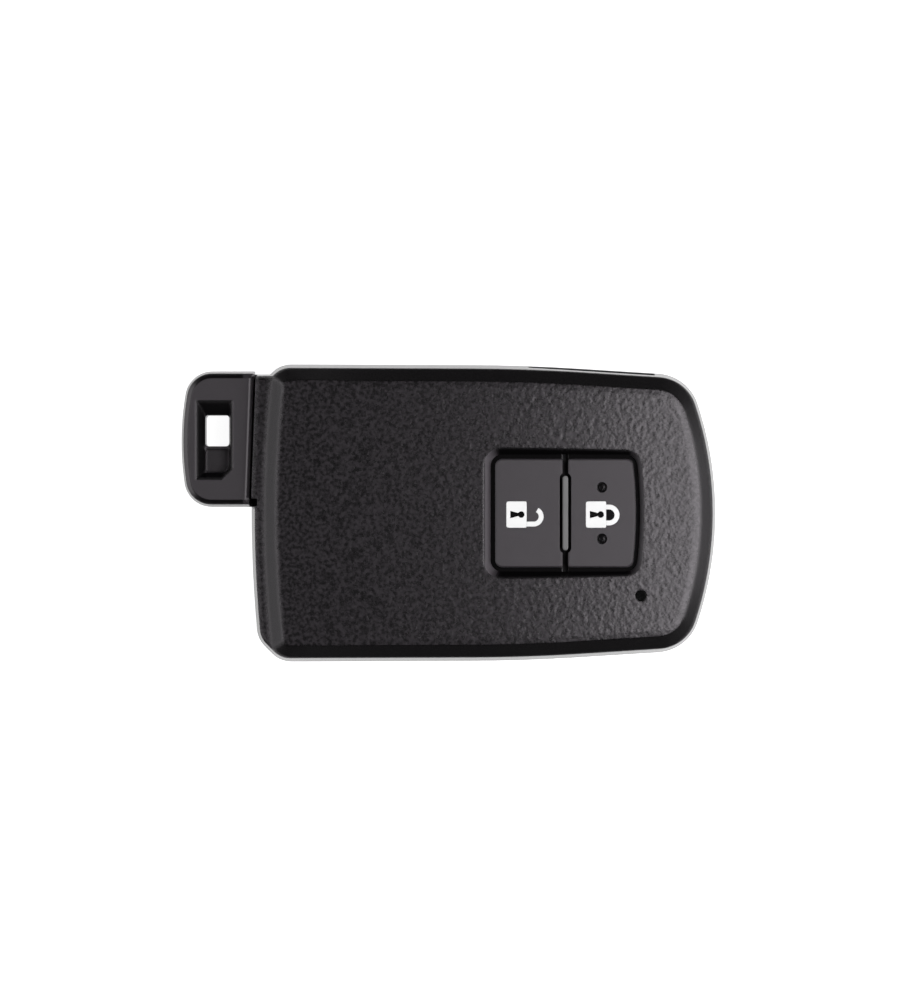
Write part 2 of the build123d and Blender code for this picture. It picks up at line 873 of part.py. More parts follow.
def staked_pin(x, y, radius, z0, z1, head_radius, head_height):
    """A pin whose lower end has been melted into a head."""
    return rod(x, y, z0, z1, radius) + rod(x, y, z0 - head_height, z0, head_radius)


def module_case():
    """The module case: a roof over the board with a skirt round it, staked to the board by three pins."""
    skirt_inner = module_outline(module_skirt)
    case = slab(module_outline(0), board_z, roof_top) - slab(skirt_inner, board_z - overrun, roof_z)
    ledge = slab(skirt_inner, board_top, roof_z + bite)
    case += ledge - slab(module_outline(module_skirt + module_ledge), 0, case_top)
    for x, y in case_places(stake_place_shares):
        case += staked_pin(x, y, stake_radius, board_z, roof_z + bite, stake_head_radius, stake_head_height)
    for x in (unlock_x, lock_x):
        case -= rod(x, 0, roof_z - overrun, roof_top + overrun, aperture_radius)
    lamp_hole = lamp_guide_radius + lamp_aperture_clearance
    case -= rod(lamp_x, lamp_y, roof_z - overrun, roof_top + overrun, lamp_hole)
    for x, y, turn in snap_sides():
        case -= Pos(x, y, 0) * Rot(0, 0, turn) * snap_room(module_notch_clearance, 0, case_top)
    far_x, far_y, turn = module_clips()[1]
    half = module_clip_width / 2 + module_notch_clearance
    case -= block(far_x - module_clip_gap, far_x + case_width, far_y - half, far_y + half, 0, case_top)
    return case


def holder_pins():
    """Centres of the battery holder's pins."""
    centers = []
    for angle in holder_pin_angles:
        turn = math.radians(angle)
        radius = (holder_inner + holder_outer) / 2
        centers.append((battery_x + radius * math.cos(turn), battery_y + radius * math.sin(turn)))
    return centers


def circuit_board():
    """The circuit board with the holes for the stakes and for the battery holder's pins."""
    board = slab(module_outline(module_skirt + module_board_clearance), board_z, board_top)
    for x, y in case_places(stake_place_shares):
        board -= rod(x, y, 0, case_top, stake_radius + stake_clearance)
    for x, y in holder_pins():
        board -= rod(x, y, 0, case_top, holder_pin_radius + holder_pin_clearance)
    return board


def keypad_membrane():
    """The silicone keypad: a web, a boss and a pusher per button, and the divider rib between the keytops."""
    keypad = slab(window_outline(flange_reach + clamp_gap + clamp_frame), roof_top, web_top)
    for x in (unlock_x, lock_x):
        keypad += rod(x, 0, web_top - bite, boss_top, boss_radius)
        keypad += rod(x, 0, plunger_top + pusher_gap, roof_top + bite, pusher_radius)
    rib_top = case_top - crown_drop(divider_x) - keytop_recess + divider_rise
    rib = Pos(divider_x, 0) * SlotOverall(divider_length, divider_width, rotation=90)
    return keypad + edged(slab(rib, web_top - bite, rib_top), divider_edge, -1)


def keytop(low_x, high_x):
    """One hollow keytop with its flange, its post and its half of the groove round the divider."""
    high_z = 2 * case_top
    reach = flange_reach + keytop_gap
    flange_low_x = low_x - reach if low_x < divider_x else low_x
    flange_high_x = high_x + reach if high_x > divider_x else high_x
    area = window_outline(-keytop_gap)
    top = slab(area, boss_top, case_top + overrun) & crown(case_top - keytop_recess)
    top &= block(low_x, high_x, -case_width, case_width, 0, high_z)
    split_x = high_x if high_x < divider_x else low_x
    split_edges = top.edges().filter_by(Axis.Z).filter_by(lambda e: abs(e.center().X - split_x) < bite)
    top = edged(fillet(split_edges, keytop_inner_corner), keytop_edge, -1)
    hollow = slab(grown(area, -keytop_wall), 0, case_top) & crown(case_top - keytop_recess - keytop_wall)
    hollow &= block(low_x + keytop_wall, high_x - keytop_wall, -case_width, case_width, 0, case_top)
    post = rod((low_x + high_x) / 2, 0, boss_top, case_top, keytop_post_radius) & top
    flange = slab(window_outline(flange_reach), boss_top, flange_top)
    flange &= block(flange_low_x, flange_high_x, -case_width, case_width, 0, high_z)
    groove_width, groove_length = divider_width + 2 * divider_gap, divider_length + 2 * divider_gap
    groove = Pos(divider_x, 0) * SlotOverall(groove_length, groove_width, rotation=90)
    return top + flange - hollow + post - slab(groove, 0, high_z)


def button_unlock():
    """The unlock keytop, nearer the key."""
    return keytop(keytop_low_x, divider_x - keytop_split / 2)


def button_lock():
    """The lock keytop, nearer the button end, with its two feel dots."""
    key = keytop(divider_x + keytop_split / 2, keytop_high_x)
    top_z = case_top - crown_drop(lock_x) - keytop_recess
    for y in (-dot_spacing / 2, dot_spacing / 2):
        key -= tube(lock_x, y, top_z - dot_depth, top_z + overrun, dot_radius, dot_dome_radius)
    return key


def led_light_guide():
    """The clear rod that carries the lamp's light to the face."""
    top_z = case_top - crown_drop(lamp_x) - lamp_guide_recess
    guide = rod(lamp_x, lamp_y, board_top + led_height + lamp_guide_air, top_z, lamp_guide_radius)
    ceiling_z = case_top - crown_drop(lamp_x) - front_wall
    flange = rod(lamp_x, lamp_y, ceiling_z - lamp_guide_flange_height, case_top, lamp_guide_flange_radius)
    return guide + (flange & front_form(front_wall, rear_cover_height))


def switch(x):
    """A surface-mounted push switch with four flat legs and the hole for its plunger."""
    outline = Pos(x, 0) * RectangleRounded(switch_length, switch_width, switch_corner_radius)
    body = edged(slab(outline, board_top, switch_top), chip_edge, -1)
    floor_z = switch_top - plunger_depth - press_travel - plunger_floor_gap
    body -= rod(x, 0, floor_z, case_top, plunger_radius + plunger_clearance)
    reach = (switch_length + switch_leg_length) / 2
    for leg_x in (x - reach, x + reach):
        for leg_y in (-switch_leg_spacing / 2, switch_leg_spacing / 2):
            leg_top = board_top + switch_leg_thickness
            leg_length = switch_leg_length + bite
            body += bar(leg_x, leg_y, leg_length, switch_leg_width, board_top, leg_top)
    return body


def plunger(x):
    """The round plunger of a switch."""
    return edged(rod(x, 0, switch_top - plunger_depth, plunger_top, plunger_radius), plunger_edge, -1)


def unlock_switch():
    """The switch under the unlock keytop."""
    return switch(unlock_x)


def lock_switch():
    """The switch under the lock keytop."""
    return switch(lock_x)


def unlock_plunger():
    """The plunger of the unlock switch."""
    return plunger(unlock_x)


def lock_plunger():
    """The plunger of the lock switch."""
    return plunger(lock_x)


def microcontroller():
    """The controller chip with a row of pads along two of its sides."""
    x, y, size = controller_x, controller_y, controller_size
    chip = edged(bar(x, y, size, size, board_top, board_top + controller_height), chip_edge, -1)
    pad_top = board_top + controller_pad_height
    half_run = (lead_count - 1) * controller_pad_pitch / 2
    for pad_y in evenly(lead_count, y - half_run, y + half_run):
        chip += bar(x, pad_y, size + 2 * controller_pad_reach, controller_pad_width, board_top, pad_top)
    return chip


def rf_chip():
    """The radio chip with bent leads along both long sides."""
    z0 = board_top + radio_chip_lift
    half_width = radio_chip_width / 2
    chip = bar(radio_chip_x, radio_chip_y, radio_chip_length, radio_chip_width, z0, z0 + radio_chip_height)
    chip = edged(chip, chip_edge, -1)
    profile = Polyline(
        (half_width - bite, z0 + lead_height - lead_thickness),
        (half_width - bite, z0 + lead_height),
        (half_width + lead_length / 2, z0 + lead_height),
        (half_width + lead_length / 2, board_top + lead_thickness),
        (half_width + lead_length, board_top + lead_thickness),
        (half_width + lead_length, board_top),
        (half_width + lead_length / 2 - lead_thickness, board_top),
        (half_width + lead_length / 2 - lead_thickness, z0 + lead_height - lead_thickness),
        close=True,
    )
    lead = Pos(-lead_width / 2, 0, 0) * extrude(Plane.YZ * make_face(profile), amount=lead_width)
    half_run = (lead_count - 1) * lead_pitch / 2
    for shift in evenly(lead_count, -half_run, half_run):
        for turn in (0, 180):
            chip += Pos(radio_chip_x, radio_chip_y, 0) * Rot(0, 0, turn) * Pos(shift, 0, 0) * lead
    return chip


def crystal():
    """The timing crystal: a ceramic base with a metal lid."""
    base_top = board_top + crystal_base_height
    base = bar(crystal_x, crystal_y, crystal_length, crystal_width, board_top, base_top)
    length = crystal_length - 2 * crystal_lid_inset
    width = crystal_width - 2 * crystal_lid_inset
    lid = Pos(crystal_x, crystal_y) * RectangleRounded(length, width, crystal_lid_inset)
    return base + slab(lid, base_top - bite, board_top + crystal_height)


def status_led():
    """The lamp under the light guide: a base with a clear block on it."""
    base = bar(lamp_x, lamp_y, led_length, led_width, board_top, board_top + led_base_height)
    lens_length = led_length - 2 * led_lens_inset
    return base + bar(lamp_x, lamp_y, lens_length, led_width, board_top, board_top + led_height)


def chip_components():
    """Rows of small resistors and capacitors beside the controller."""
    parts = []
    half_run = (chip_part_columns - 1) * chip_part_pitch / 2
    top = board_top + chip_part_height
    for row in range(chip_part_rows):
        y = controller_y - controller_size / 2 - chip_part_from_controller - row * chip_part_pitch
        for x in evenly(chip_part_columns, controller_x - half_run, controller_x + half_run):
            parts.append(bar(x, y, chip_part_length, chip_part_width, board_top, top))
    return Compound(children=parts)


def uhf_antenna():
    """The flat radio antenna that follows the board's edge round the button end, clear of the lamp."""
    inset = module_skirt + module_board_clearance + loop_antenna_inset
    top = board_top + loop_antenna_thickness
    strip = slab(module_outline(inset), board_top, top)
    strip -= slab(module_outline(inset + loop_antenna_strip), 0, case_top)
    lamp_length, lamp_width = led_length + 2 * loop_antenna_gap, led_width + 2 * loop_antenna_gap
    strip -= bar(lamp_x, lamp_y, lamp_length, lamp_width, 0, case_top)
    return strip & block(loop_antenna_start, case_length, -case_width, case_width, 0, case_top)


def lf_antenna_base():
    """The antenna's plastic base with a post at each corner."""
    x, y, size = antenna_x, antenna_y, antenna_size
    ring_reach = 2 * antenna_wire_layer + antenna_ring_width + antenna_post_gap
    ring_size = antenna_core_size + 2 * ring_reach
    posts_z = antenna_core_z + (antenna_core_height - antenna_ring_height) / 2
    base = bar(x, y, size, size, posts_z, board_z)
    base -= bar(x, y, ring_size, ring_size, 0, antenna_top)
    base -= bar(x, y, antenna_core_size, size + overrun, 0, antenna_top)
    return base - bar(x, y, size + overrun, antenna_core_size, 0, antenna_top)


def lf_antenna_core():
    """The antenna's ferrite block."""
    size = antenna_core_size
    core = bar(antenna_x, antenna_y, size, size, antenna_core_z, antenna_core_top)
    return chamfer(core.edges().filter_by(Axis.Z), antenna_core_edge)


def winding(layer):
    """A flat winding round the core, on the first or the second layer of wire."""
    inner = antenna_core_size + 2 * layer * antenna_wire_layer
    outer = inner + 2 * antenna_wire_layer
    inner_z = antenna_core_z - layer * antenna_wire_layer
    inner_top = antenna_core_top + layer * antenna_wire_layer
    outer_z, outer_top = inner_z - antenna_wire_layer, inner_top + antenna_wire_layer
    loop = bar(0, 0, outer, antenna_wire_width, outer_z, outer_top)
    return loop - bar(0, 0, inner, antenna_wire_width + overrun, inner_z, inner_top)


def lf_antenna_winding_x():
    """The winding round the Y axis, laid on the core first."""
    return Pos(antenna_x, antenna_y, 0) * winding(0)


def lf_antenna_winding_y():
    """The winding round the X axis, laid over the first one."""
    return Pos(antenna_x, antenna_y, 0) * Rot(0, 0, 90) * winding(1)


def lf_antenna_winding_z():
    """The flat winding round the other two."""
    inner = antenna_core_size + 4 * antenna_wire_layer
    outer = inner + 2 * antenna_ring_width
    middle_z = antenna_core_z + antenna_core_height / 2
    z0, z1 = middle_z - antenna_ring_height / 2, middle_z + antenna_ring_height / 2
    ring = RectangleRounded(outer, outer, antenna_ring_width) - Rectangle(inner, inner)
    return Pos(antenna_x, antenna_y, 0) * slab(ring, z0, z1)


def at_battery(shape, angle=0):
    """A shape made at the cell's axis, moved to its place and turned about it."""
    return Pos(battery_x, battery_y, 0) * Rot(0, 0, angle) * shape


def battery_can():
    """The cell's positive can, crimped in over the seal at its top."""
    can = turned(
        [
            (0, battery_z),
            (battery_radius - can_edge, battery_z),
            (battery_radius, battery_z + can_edge),
            (battery_radius, can_crimp_top - can_edge),
            (battery_radius - can_edge, can_crimp_top),
            (can_crimp_radius, can_crimp_top),
            (can_crimp_radius, can_crimp_top - can_wall),
            (can_side_radius, can_crimp_top - can_wall),
            (can_side_radius, battery_z + can_wall),
            (0, battery_z + can_wall),
        ]
    )
    return at_battery(can)


def battery_cap():
    """The cell's negative cap with the flange that the seal grips."""
    cap = turned(
        [
            (0, battery_top),
            (cap_radius - can_edge, battery_top),
            (cap_radius, battery_top - can_edge),
            (cap_radius, cap_flange_top),
            (cap_flange_radius, cap_flange_top),
            (cap_flange_radius, battery_z + can_wall + cap_side_gap),
            (cap_flange_radius - can_wall, battery_z + can_wall + cap_side_gap),
            (cap_flange_radius - can_wall, cap_flange_top - can_wall),
            (0, cap_flange_top - can_wall),
        ]
    )
    return at_battery(cap)


def battery_gasket():
    """The thin plastic seal between the can and the cap."""
    gasket = turned(
        [
            (cap_radius, cap_flange_top),
            (cap_radius, can_crimp_top),
            (can_crimp_radius, can_crimp_top),
            (can_crimp_radius, can_crimp_top - can_wall),
            (can_side_radius, can_crimp_top - can_wall),
            (can_side_radius, battery_z + can_wall),
            (cap_flange_radius, battery_z + can_wall),
            (cap_flange_radius, cap_flange_top),
        ]
    )
    return at_battery(gasket)


def battery_holder():
    """The ring that centres the cell under the board, with a shelf over its edge and three pins."""
    shelf_inner = holder_inner - holder_shelf
    shelf_z = battery_top + holder_shelf_play
    holder = tube(0, 0, battery_z, board_z, holder_outer, holder_inner)
    holder += tube(0, 0, shelf_z, board_z, holder_inner + bite, shelf_inner)
    half = positive_contact_width / 2 + positive_contact_slot
    slot = block(shelf_inner - overrun, holder_outer + overrun, -half, half, battery_z + overrun, case_top)
    holder -= Rot(0, 0, positive_contact_angle) * slot
    for angle in cover_tab_angles:
        holder -= Rot(0, 0, angle) * barb_pocket()
    holder = at_battery(holder)
    pin_top = board_top + holder_pin_head_height
    for x, y in holder_pins():
        holder += rod(x, y, board_z - bite, pin_top, holder_pin_radius)
        holder += rod(x, y, board_top, pin_top, holder_pin_head_radius)
    return holder


def barb_heights():
    """Where the battery cover's barbs start and end."""
    high_z = battery_cover_z + battery_cover_thickness + cover_tab_height
    return high_z - cover_barb_height, high_z


def barb_pocket():
    """The pocket in the holder's side for one barb of the battery cover."""
    low_z, high_z = barb_heights()
    half = cover_tab_width / 2 + cover_barb_clearance
    low_x = holder_outer + cover_tab_gap - cover_barb - cover_barb_clearance
    z0, z1 = low_z - cover_barb_clearance, high_z + cover_barb_clearance
    return block(low_x, holder_outer + overrun, -half, half, z0, z1)


def battery_cover():
    """The round cover under the cell: a disc with a coin slot, a seal groove and three hooked tabs."""
    top_z = battery_cover_z + battery_cover_thickness
    groove_z = top_z - seal_groove_depth
    cover = edged(rod(0, 0, battery_cover_z, top_z, holder_outer), chip_edge, 0)
    cover -= bar(0, 0, cover_slot_length, cover_slot_width, 0, battery_cover_z + cover_slot_depth)
    cover -= tube(0, 0, groove_z, top_z + overrun, seal_inner + seal_width, seal_inner)
    low_z, high_z = barb_heights()
    inner_x = holder_outer + cover_tab_gap
    half = cover_tab_width / 2
    profile = Polyline(
        (inner_x + bite, low_z),
        (inner_x - cover_barb, low_z),
        (inner_x - cover_barb, high_z - cover_barb_slope),
        (inner_x, high_z),
        (inner_x + bite, high_z),
        close=True,
    )
    barb = extrude(Plane.XZ * make_face(profile), amount=half, both=True)
    tab = block(inner_x, inner_x + cover_tab_thickness, -half, half, battery_cover_z, high_z)
    foot = block(holder_outer - overrun, inner_x + bite, -half, half, battery_cover_z, groove_z)
    for angle in cover_tab_angles:
        cover += Rot(0, 0, angle) * (tab + barb + foot)
    return at_battery(cover)


def battery_cover_seal():
    """The flat seal squeezed between the battery cover and the holder."""
    top_z = battery_cover_z + battery_cover_thickness
    return at_battery(tube(0, 0, top_z - seal_groove_depth, top_z, seal_inner + seal_width, seal_inner))


def battery_contact_negative():
    """The sprung contact over the cell: a flat plate with two fingers bent down to the cap."""
    z0 = board_z - contact_thickness
    contact = bar(0, 0, negative_contact_length, negative_contact_width, z0, board_z)
    root_x = negative_finger_root
    bend_x = root_x + negative_finger_length
    end_x = bend_x + negative_touch_length
    slot_half = negative_finger_width / 2 + negative_finger_gap
    slot = block(root_x, end_x + negative_finger_gap, -slot_half, slot_half, 0, case_top)
    profile = Polyline(
        (root_x - bite, z0),
        (root_x - bite, board_z),
        (root_x, board_z),
        (bend_x, battery_top + contact_thickness),
        (end_x, battery_top + contact_thickness),
        (end_x, battery_top),
        (bend_x, battery_top),
        (root_x, z0),
        close=True,
    )
    finger = extrude(Plane.XZ * make_face(profile), amount=negative_finger_width / 2, both=True)
    for turn in (0, 180):
        contact = contact - Rot(0, 0, turn) * slot + Rot(0, 0, turn) * finger
    return at_battery(contact)


def battery_contact_positive():
    """The contact that presses on the side of the can, with its foot soldered under the board."""
    inner = battery_radius
    outer = inner + contact_thickness
    half = positive_contact_width / 2
    blade = block(inner, outer, -half, half, board_z - positive_contact_drop, board_z)
    foot = block(inner, outer + positive_contact_foot, -half, half, board_z - contact_thickness, board_z)
    return at_battery(blade + foot, positive_contact_angle)


def head_outline():
    """The key head seen from above: a bowed end, round corners and a slanted face to the case."""
    points = [
        (head_end_x - overrun, head_low_y),
        (head_face_x - head_slant, head_low_y),
        (head_face_x, head_high_y),
        (head_end_x - overrun, head_high_y),
    ]
    bow = Pos(head_end_x + head_end_radius, key_y) * Circle(head_end_radius)
    outline = make_face(Polyline(*points, close=True)) & bow
    return fillet(outline.vertices().sort_by(Axis.X)[:2], head_corner_radius)


def key_head():
    """The key head with its slot for a key ring, and the tongue that goes into the case."""
    middle_z = key_z + head_rise
    low_z, high_z = middle_z - head_height / 2, middle_z + head_height / 2
    head = edged(slab(head_outline(), low_z, high_z), head_back_edge, 0)
    top = head.faces().sort_by(Axis.Z)[-1]
    drafted = top.edges().sort_by(Axis.X)[:-1]
    head = chamfer(drafted, head_draft_width, head_draft_height, reference=top)
    top = head.faces().sort_by(Axis.Z)[-1]
    head = chamfer(top.edges(), head_edge_width, head_edge_drop, reference=top)
    head += head_bead(high_z)
    head -= sill(sill_reach + head_gap, overrun, 0, low_z + head_back_edge)
    tongue_start_x = head_face_x - head_slant - bite
    tongue_high_y = key_y + tongue_width / 2
    tongue = block(tongue_start_x, tongue_end_x, tongue_side_y, tongue_high_y, tongue_z, tongue_top)
    head += chamfer(tongue.faces().sort_by(Axis.X)[-1].edges(), tongue_edge)
    notch_length = latch_tooth_width + 2 * latch_tooth_clearance
    notch_top = tooth_top + latch_tooth_clearance
    head -= bar(tooth_x, tongue_side_y, notch_length, 2 * notch_depth, 0, notch_top)
    return head - blade_root() - ring_slot(high_z)


def head_bead(high_z):
    """The low bead along the head's edge beside the case: a short rise, then a slope down to the gap."""
    low_z = -head_bead_slope_drop - bite
    profile = [
        (0, low_z),
        (-head_bead_width, low_z),
        (-head_bead_width, 0),
        (-head_bead_slope_width, head_bead_rise),
        (0, head_bead_rise - head_bead_slope_drop),
    ]
    sections = []
    for y in (head_low_y + head_bead_from_side, head_high_y - head_bead_from_side):
        points = [(seat_x(y) - head_gap + x, y, high_z + z) for x, z in profile]
        sections.append(make_face(Polyline(*points, close=True)))
    return loft(sections, ruled=True)


def corner_cut_face(x0, x1, y0, y1, cut):
    """A rectangle with the corner nearest the case and the middle line cut off."""
    return make_face(Polyline((x0, y0), (x1 - cut, y0), (x1, y0 + cut), (x1, y1), (x0, y1), close=True))


def ring_slot(high_z):
    """The slot for a key ring: a recess with sloping sides, a window through the head and a pocket."""
    high_x = head_end_x + ring_recess_from_end + ring_recess_width / 2
    high_y = head_y + ring_recess_shift + ring_recess_length / 2
    low_x, low_y = high_x - ring_recess_width, high_y - ring_recess_length
    window_high_x, window_high_y = high_x - ring_window_margin, high_y - ring_window_from_top
    window_x = window_high_x - ring_window_width / 2
    window_y = window_high_y - ring_window_length / 2
    pocket_high_y = window_high_y - ring_window_length - ring_bar_width
    pocket_y, pocket_low_y = pocket_high_y - ring_pocket_length / 2, pocket_high_y - ring_pocket_length

    recess = corner_cut_face(low_x, high_x, low_y, high_y, ring_recess_corner)
    window_low_x = window_high_x - ring_window_width
    floor = corner_cut_face(window_low_x, window_high_x, pocket_low_y, window_high_y, ring_floor_corner)
    floor_z = high_z - ring_recess_depth
    flare_z = high_z - ring_recess_edge
    slopes = loft([Pos(0, 0, floor_z) * floor, Pos(0, 0, flare_z) * recess], ruled=True)
    mouth = Pos(0, 0, high_z) * grown(recess, ring_recess_edge)
    flare = loft([Pos(0, 0, flare_z) * recess, mouth], ruled=True)
    window = RectangleRounded(ring_window_width, ring_window_length, ring_window_corner)
    pocket = RectangleRounded(ring_window_width, ring_pocket_length, ring_window_corner)
    pocket = (Pos(window_x, pocket_y) * pocket) & floor
    room = slopes + flare + slab(Pos(window_x, window_y) * window, 0, high_z)
    return room + slab(pocket, floor_z - ring_pocket_depth, high_z)


def blade_root():
    """The narrow end of the blade that is held in the tongue."""
    half = blade_root_width / 2
    low_x = tongue_end_x - blade_root_length
    return block(low_x, tongue_end_x, key_y - half, key_y + half, blade_z, blade_top)


def track():
    """The track along the middle of the blade, seen from above: flats at set depths joined by ramps."""
    half = track_width / 2
    swing = blade_width / 2 - half - track_margin
    places = evenly(len(track_offset_shares), tongue_end_x + track_start, blade_end_x + track_overrun)
    middle = []
    for x, share in zip(places, track_offset_shares):
        middle += [(x - track_flat / 2, key_y + share * swing), (x + track_flat / 2, key_y + share * swing)]
    upper = [(x, y + half) for x, y in middle]
    lower = [(x, y - half) for x, y in reversed(middle)]
    return make_face(Polyline(*upper, *lower, close=True))


def key_blade():
    """The steel blade with a winding track milled into both faces."""
    half = blade_width / 2
    blade = block(tongue_end_x, blade_end_x, key_y - half, key_y + half, blade_z, blade_top)
    tip = blade.edges().filter_by(Axis.Z).sort_by(Axis.X)[-2:]
    blade = chamfer(tip, blade_tip_cut)
    end_edges = blade.faces().sort_by(Axis.X)[-1].edges().filter_by(Axis.Y)
    blade = chamfer(end_edges, blade_tip_bevel)
    groove = track()
    blade -= slab(groove, blade_top - track_depth, blade_top + overrun)
    blade -= slab(groove, blade_z - overrun, blade_z + track_depth)
    return blade + blade_root()


def release_latch():
    """The latch, released: a ribbed thumb pad, a plate under the rails and a tooth for the key."""
    plate_y = (latch_back_y + latch_front_y) / 2
    plate_width = latch_front_y - latch_back_y
    latch = bar(latch_x, plate_y, 2 * latch_half_length, plate_width, latch_z, latch_top)
    pad = bar(latch_x, latch_pad_y, latch_pad_length, latch_pad_width, latch_pad_recess, latch_z + bite)
    half_run = (latch_ridges - 1) * latch_ridge_pitch / 2
    for y in evenly(latch_ridges, latch_pad_y - half_run, latch_pad_y + half_run):
        ridge_length = latch_pad_length + overrun
        pad -= bar(latch_x, y, ridge_length, latch_ridge_width, 0, latch_pad_recess + latch_ridge_depth)
    tooth_low_x, tooth_high_x = tooth_x - latch_tooth_width / 2, tooth_x + latch_tooth_width / 2
    tooth_low_y, tooth_high_y = latch_front_y - latch_back_thickness, tongue_side_y - latch_tooth_gap
    tooth = block(tooth_low_x, tooth_high_x, tooth_low_y, tooth_high_y, latch_z, tooth_top)
    back_y = latch_back_y + latch_back_thickness / 2
    back_top = latch_top + latch_back_height
    back_width = 2 * (spring_radius + spring_wire_radius)
    back = bar(latch_x, back_y, back_width, latch_back_thickness, latch_z, back_top)
    return latch + pad + tooth + back + Pos(latch_x, latch_back_y + bite, spring_z) * spring_peg(90)


def spring_peg(turn):
    """A peg along Y that one end of the spring sits on."""
    return Rot(turn, 0, 0) * rod(0, 0, 0, spring_peg_length + bite, spring_peg_radius)


def latch_spring():
    """The coil spring that pushes the latch towards the key, wound as arcs of a quarter turn."""
    run = spring_length - 2 * spring_wire_radius
    points = []
    for i in range(4 * spring_turns + 1):
        turn = math.radians(90 * i)
        rise = run * i / (4 * spring_turns)
        points.append(Vector(spring_radius * math.cos(turn), spring_radius * math.sin(turn), rise))
    tangent = Vector(0, 2 * math.pi * spring_radius, run / spring_turns)
    arcs = []
    for start, end in zip(points, points[1:]):
        arcs.append(TangentArc(start, end, tangent=tangent))
        tangent = arcs[-1] % 1
    path = Wire(arcs)
    section = Plane(origin=path @ 0, z_dir=path % 0) * RegularPolygon(spring_wire_radius, spring_wire_sides)
    coil = sweep(section, path=path)
    return Pos(latch_x, spring_seat_y + spring_wire_radius, spring_z) * Rot(-90, 0, 0) * coil


NODES = [
    front_cover,
    led_light_guide,
    keypad_membrane,
    button_unlock,
    button_lock,
    module_case,
    circuit_board,
    unlock_switch,
    lock_switch,
    unlock_plunger,
    lock_plunger,
    microcontroller,
    rf_chip,
    crystal,
    status_led,
    chip_components,
    uhf_antenna,
    lf_antenna_base,
    lf_antenna_core,
    lf_antenna_winding_x,
    lf_antenna_winding_y,
    lf_antenna_winding_z,
    battery_holder,
    battery_contact_positive,
    battery_contact_negative,
    battery_can,
    battery_cap,
    battery_gasket,
    battery_cover,
    battery_cover_seal,
    key_head,
    key_blade,
    rear_cover,
    release_latch,
    latch_spring,
]


if __name__ == "__main__":
    os.makedirs("parts", exist_ok=True)
    for node in NODES:
        export_step(node(), f"parts/{node.__name__}.step")
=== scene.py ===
# %% [markdown]
# # The looks of a car key fob
#
# The shape of the fob is finished: it comes in as a fixed frame of 35 solids, each with its real size.
# What is left is what makes a black plastic thing believable: the grain of the moulded face, the smooth
# bevel round it, the satin keytops with their printed padlocks, and the light that separates black from
# black. Everything is in metres, and one millimetre is written as 1 * MM. The solids come with plain stand-in
# finishes, which are taken out at once, so that the finishes made below can have the same names.

import json
import math

import bpy
import numpy as np
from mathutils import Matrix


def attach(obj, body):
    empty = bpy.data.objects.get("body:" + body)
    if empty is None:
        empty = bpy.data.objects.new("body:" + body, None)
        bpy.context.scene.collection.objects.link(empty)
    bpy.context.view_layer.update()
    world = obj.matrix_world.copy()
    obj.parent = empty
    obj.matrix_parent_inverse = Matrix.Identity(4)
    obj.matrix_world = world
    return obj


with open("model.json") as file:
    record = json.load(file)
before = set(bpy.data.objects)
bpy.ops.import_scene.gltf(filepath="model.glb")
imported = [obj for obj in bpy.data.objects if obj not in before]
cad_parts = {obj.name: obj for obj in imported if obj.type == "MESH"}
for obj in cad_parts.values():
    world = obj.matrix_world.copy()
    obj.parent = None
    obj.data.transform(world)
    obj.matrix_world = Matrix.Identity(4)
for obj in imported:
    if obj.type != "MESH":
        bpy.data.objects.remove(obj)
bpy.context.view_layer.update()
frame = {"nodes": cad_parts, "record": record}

MM = 0.001
nodes, record = frame["nodes"], frame["record"]
for stand_in in list(bpy.data.materials):
    bpy.data.materials.remove(stand_in)

# %% [markdown]
# ## Camera
#
# The photograph looks straight down, so the camera hangs over the fob and its picture plane is level.
# A long lens from a metre away keeps the near face and the far rim at almost the same scale, as in a
# catalogue picture. The picture's scale, taken at the height of the rim, and the place of the case's middle
# in it fix the lens and the place.

# %% Camera
PICTURE_WIDTH, PICTURE_HEIGHT = 900, 1000
PIXEL = 0.139 * MM
CASE_MIDDLE_PIXEL = (483.6, 513.0)
CAMERA_DISTANCE = 1.0
RIM_HEIGHT = 5 * MM

camera = bpy.data.cameras.new("camera")
camera.sensor_width = 36
camera.lens = camera.sensor_width * CAMERA_DISTANCE / (PICTURE_HEIGHT * PIXEL)
camera_object = bpy.data.objects.new("camera", camera)
camera_object.location = (
    (PICTURE_WIDTH / 2 - CASE_MIDDLE_PIXEL[0]) * PIXEL,
    (CASE_MIDDLE_PIXEL[1] - PICTURE_HEIGHT / 2) * PIXEL,
    CAMERA_DISTANCE + RIM_HEIGHT,
)
bpy.context.scene.collection.objects.link(camera_object)
bpy.context.scene.camera = camera_object
bpy.context.scene.view_settings.view_transform = "Standard"
print("lens in mm:", round(camera.lens))

# %% [markdown]
# ## Shader nodes in one line each
#
# A material is a graph, and a graph built by hand takes four lines for each node. This helper adds one
# node, sets its options, and fills its sockets: a value that is another node's output is linked, and
# anything else is simply written into the socket.

# %% A helper for shader nodes
def add(tree, kind, inputs=(), **options):
    """Adds one shader node and returns its first output. Inputs go from socket name or number to value."""
    made = tree.nodes.new("ShaderNode" + kind)
    for key, value in options.items():
        setattr(made, key, value)
    for key, value in dict(inputs).items():
        if isinstance(value, bpy.types.NodeSocket):
            tree.links.new(value, made.inputs[key])
        else:
            made.inputs[key].default_value = value
    return made.outputs[0] if made.outputs else None


def outputs(socket):
    """The other outputs of the node that a socket belongs to."""
    return socket.node.outputs


def math_node(tree, operation, *values):
    """One step of arithmetic."""
    return add(tree, "Math", dict(enumerate(values)), operation=operation)


